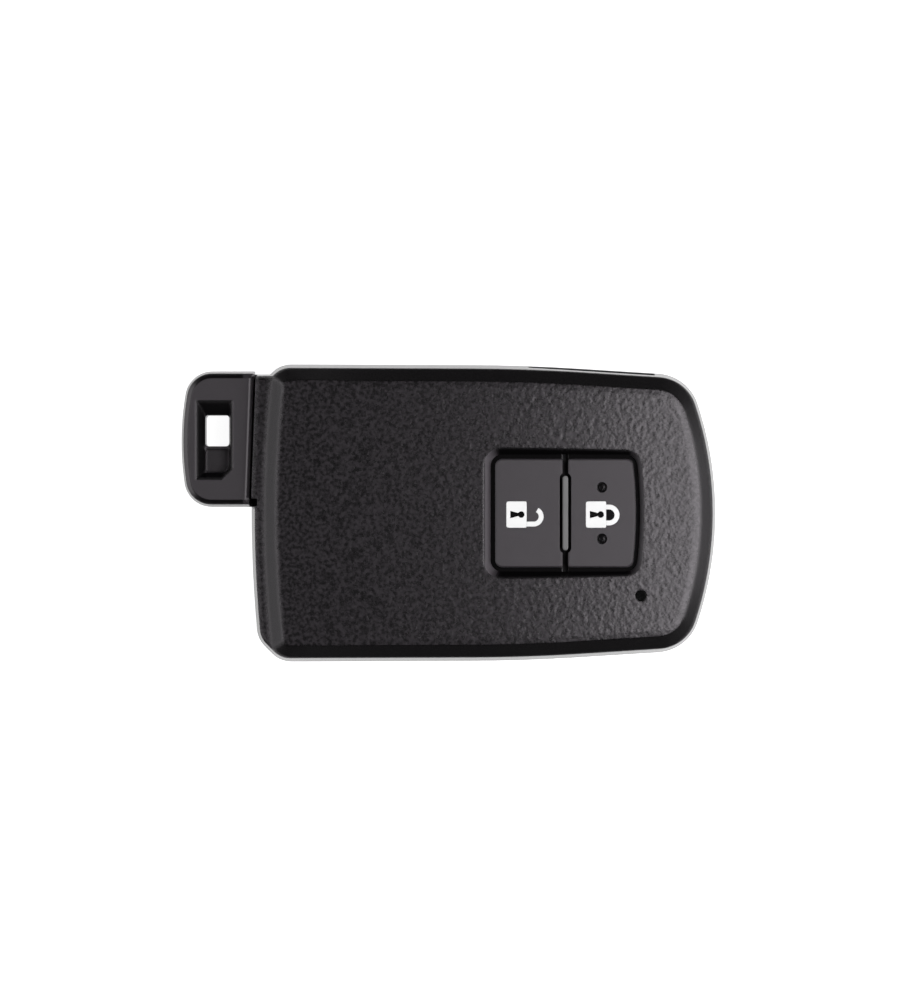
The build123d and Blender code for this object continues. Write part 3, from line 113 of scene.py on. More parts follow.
def smooth_step(tree, value, low, high):
    """0 below low, 1 above high, and a soft S between them."""
    limits = {"Value": value, "From Min": low, "From Max": high}
    return add(tree, "MapRange", limits, interpolation_type="SMOOTHSTEP")


def between(tree, share, low, high):
    """A number that goes from low to high as share goes from 0 to 1."""
    return add(tree, "Mix", {0: share, 2: low, 3: high}, data_type="FLOAT")


def blend_colors(tree, share, first, second):
    """A colour that goes from the first to the second as share goes from 0 to 1."""
    return outputs(add(tree, "Mix", {0: share, 6: first, 7: second}, data_type="RGBA"))[2]


def grey(level):
    """A plain grey of this brightness."""
    return (level, level, level, 1)


def toned(color, share):
    """The same colour made darker, or lighter if the share is above 1."""
    return tuple(min(1, share * part) for part in color[:3]) + (1,)


# %% [markdown]
# ## Studio
#
# Black plastic has almost no colour of its own, so the picture of it is a picture of the studio. A bright
# soft box stands close by on the button side and reaches from low down to nearly overhead. The face is
# slightly crowned, so each place mirrors another direction: near the key it mirrors the dim room beside the
# box, and from the middle on more and more of the box's upper edge, and so the face goes from dark to grey.
# The box is narrow across the fob, where there is nothing else to mirror but the dark sides of the room, and
# that is what makes the long bevels ink black. A weaker box stands on the key side and draws a line of light
# along the bead of the key head. The boxes stand outside the picture, and no camera sees them.

# %% Soft boxes
def soft_box(name, angle, distance, half_angle, half_angle_across, radiance):
    """A rectangular lamp seen from the fob at this angle from straight up, towards +X if it is positive.

    Its size follows from the half angles that it fills: 2 * distance * tan(half angle)."""
    tilt = math.radians(angle)
    halves = (half_angle, half_angle_across)
    height, width = (2 * distance * math.tan(math.radians(half)) for half in halves)
    lamp = bpy.data.lights.new(name, "AREA")
    lamp.shape = "RECTANGLE"
    lamp.size, lamp.size_y = height, width
    lamp.energy = radiance * math.pi * height * width
    box = bpy.data.objects.new(name, lamp)
    box.location = (distance * math.sin(tilt), 0, distance * math.cos(tilt))
    box.rotation_euler = (0, tilt, 0)
    box.visible_camera = False
    bpy.context.scene.collection.objects.link(box)
    print(name, "height and width in metres:", round(height, 2), round(width, 2))


soft_box("button_side_box", angle=43.5, distance=0.25, half_angle=33.5, half_angle_across=16, radiance=5.0)
soft_box("key_side_box", angle=-60, distance=0.7, half_angle=21, half_angle_across=30, radiance=2.4)

# %% [markdown]
# The rest of the room is a sky of three greys. It is dim overhead, nearly black on the two sides across the
# fob, and pale in a low band along the horizon, as a white table that ends in a white wall is. A direction's
# height and its share across choose between the three, with soft changes from one to the next.

# %% The room around
ROOM_MIDDLE, ROOM_ACROSS, ROOM_HORIZON = 0.08, 0.022, 0.85
ACROSS_FROM, ACROSS_TO = 0.35, 0.8
HORIZON_FROM, HORIZON_TO = 0.05, 0.16

world = bpy.data.worlds.new("studio")
bpy.context.scene.world = world
world.use_nodes = True
tree = world.node_tree
tree.nodes.clear()
direction = outputs(add(tree, "SeparateXYZ", {0: add(tree, "TexCoord")}))
across = smooth_step(tree, math_node(tree, "ABSOLUTE", direction[1]), ACROSS_FROM, ACROSS_TO)
upper = between(tree, across, ROOM_MIDDLE, ROOM_ACROSS)
above_horizon = smooth_step(tree, direction[2], HORIZON_FROM, HORIZON_TO)
room = between(tree, above_horizon, ROOM_HORIZON, upper)
add(tree, "OutputWorld", {0: add(tree, "Background", {"Strength": room, "Color": grey(1)})})
print("room:", ROOM_MIDDLE, "overhead,", ROOM_ACROSS, "across,", ROOM_HORIZON, "at the horizon")

# %% [markdown]
# ## Floor
#
# The ground of the photograph is pure white. A white floor in ordinary light renders as a very light grey,
# so the floor adds a little light of its own, but only for rays that come from the camera, from a glossy
# surface or through glass: it looks white and still doesn't light the fob. The fob's shadow stays on it.
# Seen from below the floor is left out, so that the back of the fob can be looked at as well.

# %% Floor
FLOOR_HALF = 6.0
FLOOR_DROP = 0.05 * MM
FLOOR_COLOR = 0.8
FLOOR_GLOW = 0.9

floor_mesh = bpy.data.meshes.new("floor")
corners = np.array([(-1, -1, 0), (1, -1, 0), (1, 1, 0), (-1, 1, 0)]) * FLOOR_HALF
corners[:, 2] = -FLOOR_DROP
floor_mesh.from_pydata(corners.tolist(), [], [(0, 1, 2, 3)])
floor = bpy.data.objects.new("floor", floor_mesh)
bpy.context.scene.collection.objects.link(floor)

floor_material = bpy.data.materials.new("floor")
floor_material.use_nodes = True
tree = floor_material.node_tree
tree.nodes.clear()
path = outputs(add(tree, "LightPath"))
seen = math_node(tree, "MAXIMUM", path["Is Camera Ray"], path["Is Glossy Ray"])
seen = math_node(tree, "MAXIMUM", seen, path["Is Transmission Ray"])
glow = add(tree, "Emission", {"Strength": math_node(tree, "MULTIPLY", seen, FLOOR_GLOW)})
matt = add(tree, "BsdfDiffuse", {"Color": grey(FLOOR_COLOR)})
lit = add(tree, "AddShader", {0: matt, 1: glow})
behind = outputs(add(tree, "NewGeometry"))["Backfacing"]
shown = add(tree, "MixShader", {0: behind, 1: lit, 2: add(tree, "BsdfTransparent")})
add(tree, "OutputMaterial", {"Surface": shown})
floor_mesh.materials.append(floor_material)
print("floor width in metres:", 2 * FLOOR_HALF)

# %% [markdown]
# ## A start for every finish
#
# Each finish begins the same way: an empty graph, the Object coordinates, which stay fixed to the part
# when it moves, and at the end one Principled shader. Noise in these coordinates is measured in metres, so
# a scale of 1 / (0.4 * MM) gives spots about 0.4 mm across. Where a finish has to know which way the surface
# faces, it asks for the part's own direction and not the world's, so that a piece keeps its look as it moves.

# %% Start and end of a finish
LEVEL_COSINE, LEANING_COSINE = 0.96, 0.9
VIOLET_SHARE = 1.12
GLOSS_TINT = (1.0, 0.95, 1.0, 1)


def start(name):
    """An empty material, its graph and the Object coordinates."""
    material = bpy.data.materials.new(name)
    material.use_nodes = True
    graph = material.node_tree
    graph.nodes.clear()
    return material, graph, outputs(add(graph, "TexCoord"))["Object"]


def spots(graph, place, size, detail=2.0, rough=0.5):
    """Soft irregular spots of about this size, as a share from 0 to 1."""
    values = {"Vector": place, "Scale": 1 / size, "Detail": detail, "Roughness": rough}
    return add(graph, "TexNoise", values)


def relief(graph, height, depth, strength=1.0, normal=None):
    """A bump from a height share: depth is how deep it goes at the most."""
    values = {"Height": height, "Distance": depth, "Strength": strength}
    if normal is not None:
        values["Normal"] = normal
    return add(graph, "Bump", values)


def rounded(graph, radius):
    """The surface's direction with each sharp edge rounded by this radius."""
    return add(graph, "Bevel", {"Radius": radius}, samples=4)


def facing(graph):
    """The x, y and z of the direction that the surface faces, measured on the part itself."""
    return outputs(add(graph, "SeparateXYZ", {0: outputs(add(graph, "TexCoord"))["Normal"]}))


def leaning(graph):
    """0 where the surface is nearly level, 1 where it leans by more than about 25 degrees."""
    return smooth_step(graph, math_node(graph, "ABSOLUTE", facing(graph)[2]), LEVEL_COSINE, LEANING_COSINE)


def black(level):
    """A black that leans a little to violet, as carbon-filled plastic does."""
    return (VIOLET_SHARE * level, level, VIOLET_SHARE * level, 1)


def end(material, graph, **inputs):
    """Puts a Principled shader at the end of the graph. Underscores in the names stand for spaces."""
    named = {key.replace("_", " "): value for key, value in inputs.items()}
    add(graph, "OutputMaterial", {"Surface": add(graph, "BsdfPrincipled", named)})
    return material


def end_plastic(material, graph, shade, gloss, bump):
    """The end of every plastic that isn't clear: what it mirrors leans a little to violet."""
    return end(material, graph, Base_Color=shade, Roughness=gloss, Normal=bump, Specular_Tint=GLOSS_TINT)


# %% [markdown]
# ## The grained cover
#
# The tool that moulds the face is etched, and the etching prints as a fine irregular grain. The bevels are
# left polished. Which is which is told by how steep the surface is: grain where it is nearly level, polish
# where it leans. The two slopes across the fob in the frame of the button window are the exception: they are
# satin, and the one that faces the button end and the big soft box is painted lighter, as painted light. The
# edges at both ends are rounder than the long ones, and carry a wide soft band of light. Two sizes of spots
# make the relief of the grain, the larger one for the pebbles and the smaller one for the sparkle on them. A
# fine mottle of painted light on tops and painted shade in pits goes with it, which keeps the grain alive
# where the room is too even to show its relief.

# %% Grained plastic
GRAIN_SIZE = 0.74 * MM
MOTTLE_SIZE = 0.5 * MM
GRAIN_DEPTH = 0.048 * MM
SPARKLE_SHARE = 0.12
# Painted shade in the pits and painted light on the tops of the grain, as colour from its own noise.
PAINTED_PIT_SHADE, PAINTED_TOP_LIGHT = 0.1, 1.9
EDGE_RADIUS, END_EDGE_RADIUS = 0.35 * MM, 1.0 * MM
END_ZONE_FROM, END_ZONE_TO = 25 * MM, 30 * MM
WINDOW_X, WINDOW_HALF_X, WINDOW_HALF_Y = 11.25 * MM, 10.3 * MM, 8.1 * MM
FRAME_FROM, FRAME_TO = 0.9 * MM, 0.7 * MM
# The window frame's slope that faces the button end has painted light: 0.07 against the frame's own 0.015.
FRAME_COLOR, PAINTED_LIT_SLOPE_COLOR, FRAME_ROUGH = 0.015, 0.07, 0.5


def facing_ends(graph):
    """Two shares: 1 where the surface faces an end of the fob, and 1 where it faces the button end.

    The direction's x is the sine of the slope towards the button end: 0.1 is 6 degrees, and 0.7 is 45."""
    along = facing(graph)[0]
    either_end = smooth_step(graph, math_node(graph, "ABSOLUTE", along), 0.1, 0.7)
    return either_end, smooth_step(graph, along, -0.3, 0.5)


def window_frame(graph, axes):
    """1 over the button window and its frame, seen from above, and 0 from 0.9 mm outside the window on."""
    aside_x = math_node(graph, "ABSOLUTE", math_node(graph, "SUBTRACT", axes[0], WINDOW_X))
    aside_x = math_node(graph, "SUBTRACT", aside_x, WINDOW_HALF_X)
    aside_y = math_node(graph, "SUBTRACT", math_node(graph, "ABSOLUTE", axes[1]), WINDOW_HALF_Y)
    return smooth_step(graph, math_node(graph, "MAXIMUM", aside_x, aside_y), FRAME_FROM, FRAME_TO)


def grained_plastic(name, color, color_smooth, rough, rough_smooth, depth, polished):
    """Black plastic with an etched grain where it is nearly level, and polished where it leans."""
    material, graph, place = start(name)
    axes = outputs(add(graph, "SeparateXYZ", {0: place}))
    either_end, button_end = facing_ends(graph)
    frame_slope = math_node(graph, "MULTIPLY", either_end, window_frame(graph, axes))
    # Painted light: the frame's slope that faces the button end is made lighter.
    frame_painted_light = blend_colors(graph, button_end, black(FRAME_COLOR), black(PAINTED_LIT_SLOPE_COLOR))
    lean = math_node(graph, "SUBTRACT", leaning(graph), frame_slope)
    polish = math_node(graph, "MULTIPLY", lean, polished)
    ends = smooth_step(graph, math_node(graph, "ABSOLUTE", axes[0]), END_ZONE_FROM, END_ZONE_TO)
    soft_edges = rounded(graph, between(graph, ends, EDGE_RADIUS, END_EDGE_RADIUS))
    pebbles = spots(graph, place, GRAIN_SIZE, 1.0)
    grain = between(graph, SPARKLE_SHARE, pebbles, spots(graph, place, GRAIN_SIZE / 3, 1.0))
    bump = relief(graph, grain, depth, math_node(graph, "SUBTRACT", 1, polish), soft_edges)
    # Painted light and shade: a mottle whose spots are lightened as tops and darkened as pits.
    painted_light_mottle = smooth_step(graph, spots(graph, place, MOTTLE_SIZE, 1.0), 0.25, 0.75)
    etched_color_with_painted_light = blend_colors(graph, painted_light_mottle, black(PAINTED_PIT_SHADE * color), black(PAINTED_TOP_LIGHT * color))
    shade = blend_colors(graph, polish, etched_color_with_painted_light, black(color_smooth))
    shade = blend_colors(graph, frame_slope, shade, frame_painted_light)
    gloss = between(graph, polish, between(graph, painted_light_mottle, 1.1 * rough, 0.9 * rough), rough_smooth)
    gloss = between(graph, frame_slope, gloss, FRAME_ROUGH)
    return end_plastic(material, graph, shade, gloss, bump)


grained_plastic("cover_grain", 0.014, 0.002, rough=0.25, rough_smooth=0.2, depth=GRAIN_DEPTH, polished=1.0)
grained_plastic("rear_grain", 0.012, 0.004, rough=0.35, rough_smooth=0.2, depth=GRAIN_DEPTH / 2, polished=0.8)

# %% [markdown]
# ## Smooth and soft plastics
#
# The keytops and the key head have no grain, but nothing moulded is perfectly flat. A shallow swell, a very
# fine tooth, and a gloss that changes a little from place to place are enough to keep them from looking
# like paint. The edges are rounded in the shader, and slightly worn where fingers pass: there the surface
# is a little lighter and smoother.

# %% Satin plastic
SATIN_EDGE_RADIUS = 0.15 * MM
TOOTH_SIZE, SCUFF_SIZE, PATCH_SIZE = 0.12 * MM, 0.8 * MM, 6 * MM


def satin_layers(
    graph, place, color, rough, tooth=0.004 * MM, swell=0.02 * MM, wear=0.3, edge_radius=SATIN_EDGE_RADIUS
):
    """The colour, gloss and relief of smooth plastic: a fine tooth, a shallow swell and worn edges."""
    soft_edges = rounded(graph, edge_radius)
    flat = outputs(add(graph, "NewGeometry"))["Normal"]
    alike = outputs(add(graph, "VectorMath", {0: soft_edges, 1: flat}, operation="DOT_PRODUCT"))["Value"]
    edge = smooth_step(graph, alike, 0.995, 0.9)
    patches = spots(graph, place, PATCH_SIZE, 3.0)
    scuffs = spots(graph, place, SCUFF_SIZE, 4.0, 0.7)
    worn = math_node(graph, "MULTIPLY", math_node(graph, "MULTIPLY", edge, scuffs), wear)
    darker, usual, lighter = (toned(color, share) for share in (0.9, 1.1, 2.2))
    shade = blend_colors(graph, worn, blend_colors(graph, patches, darker, usual), lighter)
    gloss = between(graph, worn, between(graph, patches, 0.93 * rough, 1.07 * rough), 0.6 * rough)
    bump = relief(graph, patches, swell, normal=soft_edges)
    return shade, gloss, relief(graph, spots(graph, place, TOOTH_SIZE), tooth, normal=bump)


def satin_plastic(name, color, rough, **look):
    """Smooth plastic in one colour."""
    material, graph, place = start(name)
    shade, gloss, bump = satin_layers(graph, place, color, rough, **look)
    return end_plastic(material, graph, shade, gloss, bump)


# %% [markdown]
# The keytops are lighter on their tops only. Their sides, the gaps round them, the feel dots and the groove
# for the divider get a painted shade, near black, from a little below the crown down. The top is crowned, so
# the finish needs the crown's height at each place: a parabola through the top of the solid, which is
# measured once and used again by the padlocks. Small discs of painted shade lie behind each keyhole, inside
# the closed hoop and round each feel dot, so that they look deep.

# %% The crown of a keytop
CROWN_DEPTH = 0.12 * MM


def crown_of(node):
    """The crowned top of a keytop as a parabola: height = a * x * x + b * x + c.

    It goes through the points that lie within the crown's depth below the highest one."""
    points = np.array([vertex.co for vertex in nodes[node].data.vertices])
    top = points[points[:, 2] > points[:, 2].max() - CROWN_DEPTH]
    return np.polyfit(top[:, 0], top[:, 2], 2)


crowns = {node: crown_of(node) for node in ("button_unlock", "button_lock")}
print("crown's middle in mm:", round(-crowns["button_lock"][1] / 2 / crowns["button_lock"][0] / MM, 1))

# %% Places of the padlocks and of the spots of painted shade
ICON_Y = -0.2 * MM
UNLOCK_X, LOCK_X = 3.1 * MM, 14.07 * MM
CLOSED_HOOP_X = LOCK_X + 3.2 * MM
FEEL_DOT = (16.29 * MM, 3.55 * MM, 0.74 * MM)
INSIDE_HOOP = (CLOSED_HOOP_X, -ICON_Y, 0.85 * MM)
BEHIND_KEYHOLES = [(icon_x + 1.4 * MM, -ICON_Y, 1.25 * MM) for icon_x in (UNLOCK_X, LOCK_X)]
# Discs of painted shade round each feel dot, inside the closed hoop and behind each keyhole, so that they
# look deep.
PAINTED_SHADE_SPOTS = [FEEL_DOT, INSIDE_HOOP, *BEHIND_KEYHOLES]
SPOT_SOFTNESS = 0.03 * MM
print("dark spots, as x, |y| and radius in mm:", [[round(v / MM, 2) for v in spot] for spot in PAINTED_SHADE_SPOTS])

# %% Keytops
# From this depth below the crown the keytops get painted shade.
SUNK_FROM, SUNK_TO, SUNK_ROUGH = 0.2 * MM, 0.35 * MM, 0.08
KEYTOP_TOOTH = 0.008 * MM


def disc(graph, axes, x, y, radius):
    """1 within this distance of (x, y) or of (x, -y), and 0 outside."""
    aside_x = math_node(graph, "SUBTRACT", axes[0], x)
    aside_y = math_node(graph, "SUBTRACT", math_node(graph, "ABSOLUTE", axes[1]), y)
    square_y = math_node(graph, "MULTIPLY", aside_y, aside_y)
    distance = math_node(graph, "SQRT", math_node(graph, "MULTIPLY_ADD", aside_x, aside_x, square_y))
    return smooth_step(graph, distance, radius + SPOT_SOFTNESS, radius - SPOT_SOFTNESS)


def keytop_plastic(name, color, painted_shade_color, rough, crown):
    """Satin plastic with painted shade below the crowned top and in the spots of painted shade on it."""
    material, graph, place = start(name)
    axes = outputs(add(graph, "SeparateXYZ", {0: place}))
    slope = math_node(graph, "MULTIPLY_ADD", axes[0], float(crown[0]), float(crown[1]))
    top = math_node(graph, "MULTIPLY_ADD", axes[0], slope, float(crown[2]))
    # Painted shade: near black from a little below the crown down, in the gaps, grooves and moats.
    painted_shade = smooth_step(graph, math_node(graph, "SUBTRACT", top, axes[2]), SUNK_FROM, SUNK_TO)
    for spot in PAINTED_SHADE_SPOTS:
        painted_shade = math_node(graph, "MAXIMUM", painted_shade, disc(graph, axes, *spot))
    tooth = between(graph, painted_shade, KEYTOP_TOOTH, 0)
    shade, gloss, bump = satin_layers(graph, place, color, rough, tooth=tooth)
    shade = blend_colors(graph, painted_shade, shade, painted_shade_color)
    gloss = between(graph, painted_shade, gloss, SUNK_ROUGH)
    return end_plastic(material, graph, shade, gloss, bump)


# black(0.002) is the painted shade of the keytops.
keytop_plastic("keytop", black(0.031), black(0.002), rough=0.5, crown=crowns["button_lock"])
print("the keytops' finish turns dark from", round(SUNK_FROM / MM, 2), "mm below the crown")

# %% [markdown]
# The key head follows the cover: its level faces are satin, and its chamfers and the sides of the slot for
# the key ring are polished black, with edges round enough to carry a line of light. The bead that runs along
# the cover has a sharper edge, and its slope has a painted highlight: it keeps the lighter satin colour.

# %% Key head
BEAD_X, BEAD_SOFTNESS = -33.3 * MM, 0.1 * MM
HEAD_EDGE_RADIUS, BEAD_EDGE_RADIUS = 0.45 * MM, 0.06 * MM


def head_plastic(name, color, color_smooth, rough, rough_smooth):
    """Satin plastic that is polished where it leans, with a sharper bead whose slope has a painted highlight.
    """
    material, graph, place = start(name)
    along = outputs(add(graph, "SeparateXYZ", {0: place}))[0]
    bead_and_painted_highlight = smooth_step(graph, along, BEAD_X - BEAD_SOFTNESS, BEAD_X + BEAD_SOFTNESS)
    radius = between(graph, bead_and_painted_highlight, HEAD_EDGE_RADIUS, BEAD_EDGE_RADIUS)
    shade, gloss, bump = satin_layers(graph, place, color, rough, edge_radius=radius)
    polish = leaning(graph)
    # Painted highlight: on the bead the leaning slope keeps the satin colour instead of the polished black.
    shade = blend_colors(graph, polish, shade, blend_colors(graph, bead_and_painted_highlight, color_smooth, color))
    gloss = between(graph, polish, gloss, rough_smooth)
    return end_plastic(material, graph, shade, gloss, bump)


head_plastic("head_satin", black(0.032), black(0.002), rough=0.45, rough_smooth=0.28)
print("the bead begins at x in mm:", round(BEAD_X / MM, 1))

# %% [markdown]
# The silicone keypad is one piece: a dark mat under the keytops, and the rib that stands up between them.
# Only the top of the rib is pale, a painted highlight, and below it the rubber is near black, so the colour
# changes with height.

# %% Silicone
def rubber_with_painted_top(name, color, painted_highlight, rough, highlight_depth):
    """Soft rubber in one colour, with a painted highlight in another colour down to this depth below its
    highest point.
    """
    material, graph, place = start(name)
    shade, gloss, bump = satin_layers(graph, place, painted_highlight, rough, tooth=0.01 * MM, wear=0)
    high_z = max(v.co.z for v in nodes["keypad_membrane"].data.vertices)
    print("the coat of the rib ends at z in mm:", round((high_z - highlight_depth) / MM, 1))
    height = outputs(add(graph, "SeparateXYZ", {0: place}))[2]
    # Painted highlight: only the top of the rib keeps the pale grey; below it the colour goes near black.
    below_highlight = smooth_step(graph, height, high_z - highlight_depth, high_z - 1.5 * highlight_depth)
    shade = blend_colors(graph, below_highlight, shade, color)
    return end_plastic(material, graph, shade, gloss, bump)


rubber_with_painted_top("silicone", black(0.004), painted_highlight=grey(0.15), rough=0.6, highlight_depth=0.4 * MM)

# %% [markdown]
# The other plastics are plain satin, each in one colour: the tub and the holder inside, the latch, the
# switches with their cream plungers, the base of the antenna, the chips, the seals, and the white ink of the
# padlocks. They differ in colour and gloss, and the rubber seal and the chips have a coarser tooth.

# %% Other satin plastics
satin_plastic("module_plastic", grey(0.04), 0.5)
satin_plastic("holder_plastic", grey(0.045), 0.45)
satin_plastic("latch_plastic", grey(0.035), 0.42)
satin_plastic("switch_plastic", grey(0.02), 0.45)
satin_plastic("plunger_plastic", (0.72, 0.66, 0.53, 1), 0.5)
satin_plastic("antenna_plastic", grey(0.03), 0.5)
satin_plastic("cell_seal", grey(0.05), 0.5)
satin_plastic("seal_rubber", grey(0.025), 0.7, tooth=0.01 * MM, wear=0)
satin_plastic("chip_resin", grey(0.022), 0.6, tooth=0.01 * MM)
icon_paint = satin_plastic("icon_paint", grey(0.9), 0.5, swell=0.003 * MM, wear=0)
print("finishes so far, with the floor's:", len(bpy.data.materials))

# %% [markdown]
# ## Clear plastic
#
# The lamp guide is clear, but what lies behind it is dark, and in daylight the hole looks black. Smoked
# plastic that mirrors very little does the same. The lamp itself has a tinted resin body.

# %% Clear plastic
FLOW_SIZE, FLOW_DEPTH, CLEAR_EDGE_RADIUS = 1.2 * MM, 0.002 * MM, 0.08 * MM


def clear_plastic(name, tint, rough, specular):
    """Tinted see-through plastic with faint flow lines in it; specular is how strongly it mirrors."""
    material, graph, place = start(name)
    flow = spots(graph, place, FLOW_SIZE, 3.0)
    gloss = between(graph, flow, 0.8 * rough, 1.2 * rough)
    shade = blend_colors(graph, flow, toned(tint, 0.85), toned(tint, 1))
    bump = relief(graph, flow, FLOW_DEPTH, normal=rounded(graph, CLEAR_EDGE_RADIUS))
    looks = {"Base_Color": shade, "Roughness": gloss, "Normal": bump, "Specular_IOR_Level": specular}
    return end(material, graph, Transmission_Weight=0.9, IOR=1.49, **looks)


clear_plastic("clear_plastic", grey(0.004), rough=0.1, specular=0.05)
clear_plastic("lamp_resin", (0.85, 0.22, 0.16), rough=0.25, specular=0.5)
print("flow lines about", round(FLOW_SIZE / MM, 1), "mm apart")

# %% [markdown]
# ## Metals
#
# Metal is all reflection, so its look comes from how fine marks spread the reflection. A brushed blade has
# long thin scratches: noise that is stretched along the blade. Rolled cell steel has hardly any.

# %% Metals
MARK_SIZE, MARK_DEPTH, STAIN_SIZE = 0.3 * MM, 0.004 * MM, 5 * MM
METAL_EDGE_RADIUS = 0.06 * MM


def metal(name, color, rough, stretch=(1, 1, 1)):
    """Metal with fine marks, which are drawn out along an axis where its stretch is small."""
    material, graph, place = start(name)
    drawn = add(graph, "Mapping", {"Vector": place, "Scale": stretch})
    marks = spots(graph, drawn, MARK_SIZE, 4.0, 0.6)
    stains = spots(graph, place, STAIN_SIZE)
    clean_gloss = between(graph, marks, 0.75 * rough, 1.15 * rough)
    gloss = math_node(graph, "ADD", clean_gloss, between(graph, stains, 0, 0.06))
    shade = blend_colors(graph, stains, toned(color, 0.88), toned(color, 1))
    bump = relief(graph, marks, MARK_DEPTH, normal=rounded(graph, METAL_EDGE_RADIUS))
    return end(material, graph, Base_Color=shade, Metallic=1.0, Roughness=gloss, Normal=bump)


metal("blade_steel", (0.66, 0.64, 0.6), rough=0.34, stretch=(0.04, 1, 1))
metal("contact_steel", (0.7, 0.68, 0.62), rough=0.3, stretch=(0.2, 1, 1))
metal("cell_steel", (0.72, 0.72, 0.72), rough=0.2)
metal("crystal_metal", (0.68, 0.66, 0.62), rough=0.36)
metal("spring_steel", (0.55, 0.55, 0.55), rough=0.3)
metal("antenna_strip", (0.8, 0.58, 0.27), rough=0.3)
print("metals:", sum(m.name.endswith(("steel", "metal", "strip")) for m in bpy.data.materials))

# %% [markdown]
# ## Electronics
#
# Under the cover lies a printed board. Its green is a thin lacquer over copper, and the copper shows through
# as lighter tracks that run straight, with right-angled corners: bricks of two sizes laid over each other
# give such a net.

# %% The board
TRACK_WIDTH, COPPER_HEIGHT = 0.09 * MM, 0.03 * MM
BRICKS = ((4.2 * MM, 1.3 * MM), (2.3 * MM, 5.1 * MM))


def brick_tracks(graph, place, width, height):
    """1 on the joints between bricks of this size, and 0 on the bricks."""
    sizes = {"Scale": 1.0, "Mortar Size": TRACK_WIDTH, "Mortar Smooth": 0.1, "Bias": 0.0}
    sizes |= {"Vector": place, "Brick Width": width, "Row Height": height}
    sizes |= {"Color1": grey(0), "Color2": grey(0), "Mortar": grey(1)}
    return add(graph, "TexBrick", sizes, offset=0.37, squash=0.6, squash_frequency=3)


def solder_mask():
    """Green lacquer over a net of copper tracks."""
    material, graph, place = start("solder_mask")
    copper = math_node(graph, "MAXIMUM", *(brick_tracks(graph, place, *brick) for brick in BRICKS))
    cloudy = spots(graph, place, 4 * MM)
    lacquer = blend_colors(graph, cloudy, (0.008, 0.1, 0.04, 1), (0.012, 0.14, 0.055, 1))
    shade = blend_colors(graph, copper, lacquer, (0.06, 0.3, 0.1, 1))
    bump = relief(graph, copper, COPPER_HEIGHT)
    return end(material, graph, Base_Color=shade, Roughness=between(graph, cloudy, 0.25, 0.4), Normal=bump)


solder_mask()
print("bricks of the track net in mm:", [(round(w / MM, 1), round(h / MM, 1)) for w, h in BRICKS])

# %% [markdown]
# Ferrite and ceramic are fired powders, matt and with fine pores. The windings of the antenna are hundreds of
# turns of hair-thin wire, and coarser ribs, a millimetre or so apart, stand for them.

# %% Ferrite, ceramic and wire
RIB_SCALE, RIB_DEPTH = 0.05 / (0.12 * MM), 0.03 * MM


def fired(name, color, rough, size):
    """Fired ferrite or ceramic: matt, with pores."""
    material, graph, place = start(name)
    pores = add(graph, "TexVoronoi", {"Vector": place, "Scale": 1 / size})
    shade = blend_colors(graph, pores, toned(color, 0.8), toned(color, 1.2))
    return end(material, graph, Base_Color=shade, Roughness=rough, Normal=relief(graph, pores, size / 8))


def enamelled_wire():
    """Copper wire under brown enamel, laid turn by turn: ribs across each winding."""
    material, graph, place = start("enamelled_wire")
    ribs = add(graph, "TexWave", {"Vector": place, "Scale": RIB_SCALE}, bands_direction="DIAGONAL")
    patches = spots(graph, place, 1.5 * MM, 3.0)
    shade = blend_colors(graph, patches, (0.35, 0.09, 0.03, 1), (0.6, 0.2, 0.08, 1))
    bump = relief(graph, ribs, RIB_DEPTH)
    return end(material, graph, Base_Color=shade, Metallic=0.8, Roughness=0.28, Normal=bump)


fired("ferrite", (0.05, 0.05, 0.055), rough=0.65, size=0.15 * MM)
fired("ceramic", (0.4, 0.31, 0.22), rough=0.5, size=0.1 * MM)
enamelled_wire()
print("finishes in all, with the floor's:", len(bpy.data.materials))

# %% [markdown]
# ## Finishes onto the frame
#
# The record of the part says which finish each solid has. The solids themselves are left alone: only the
# material in their slot is set, so every one of the 35 gets the finish that carries the name of its slot.

# %% Finishes onto the frame
for row in record["subparts"]:
    solid = nodes[row["node"]]
    solid.data.materials.clear()
    solid.data.materials.append(bpy.data.materials[row["material_slot"]])
print("finished solids:", sum(bool(n.data.materials) for n in nodes.values()))

# %% [markdown]
# ## Padlocks on the keytops
#
# Each keytop carries a white padlock, printed on after moulding. Real ink has a thickness, and a thin raised
# plate catches the light at its edge as ink does, so the padlocks are meshes and not a painted pattern. The
# body of a padlock is a ring-shaped surface: one direction goes round, the other goes from the keyhole out to
# the edge, down the ink's thickness and back underneath. Both the keyhole and the body's outline are
# given as a distance from the keyhole's middle in every direction, so the whole plate is one formula.

# %% Helpers for printed shapes
INK_HEIGHT, INK_DEPTH = 0.03 * MM, 0.04 * MM
INK_LEVELS = np.array([INK_HEIGHT, INK_HEIGHT, -INK_DEPTH, -INK_DEPTH])


def add_mesh(name, points, faces, body, material):
    """A piece with its place in its mesh, riding on a body."""
    mesh = bpy.data.meshes.new(name)
    mesh.from_pydata(points.reshape(-1, 3).tolist(), [], faces.tolist())
    mesh.materials.append(material)
    mesh.validate()
    mesh.update()
    piece = bpy.data.objects.new(name, mesh)
    bpy.context.scene.collection.objects.link(piece)
    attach(piece, body)
    print(name, "faces:", len(mesh.polygons))


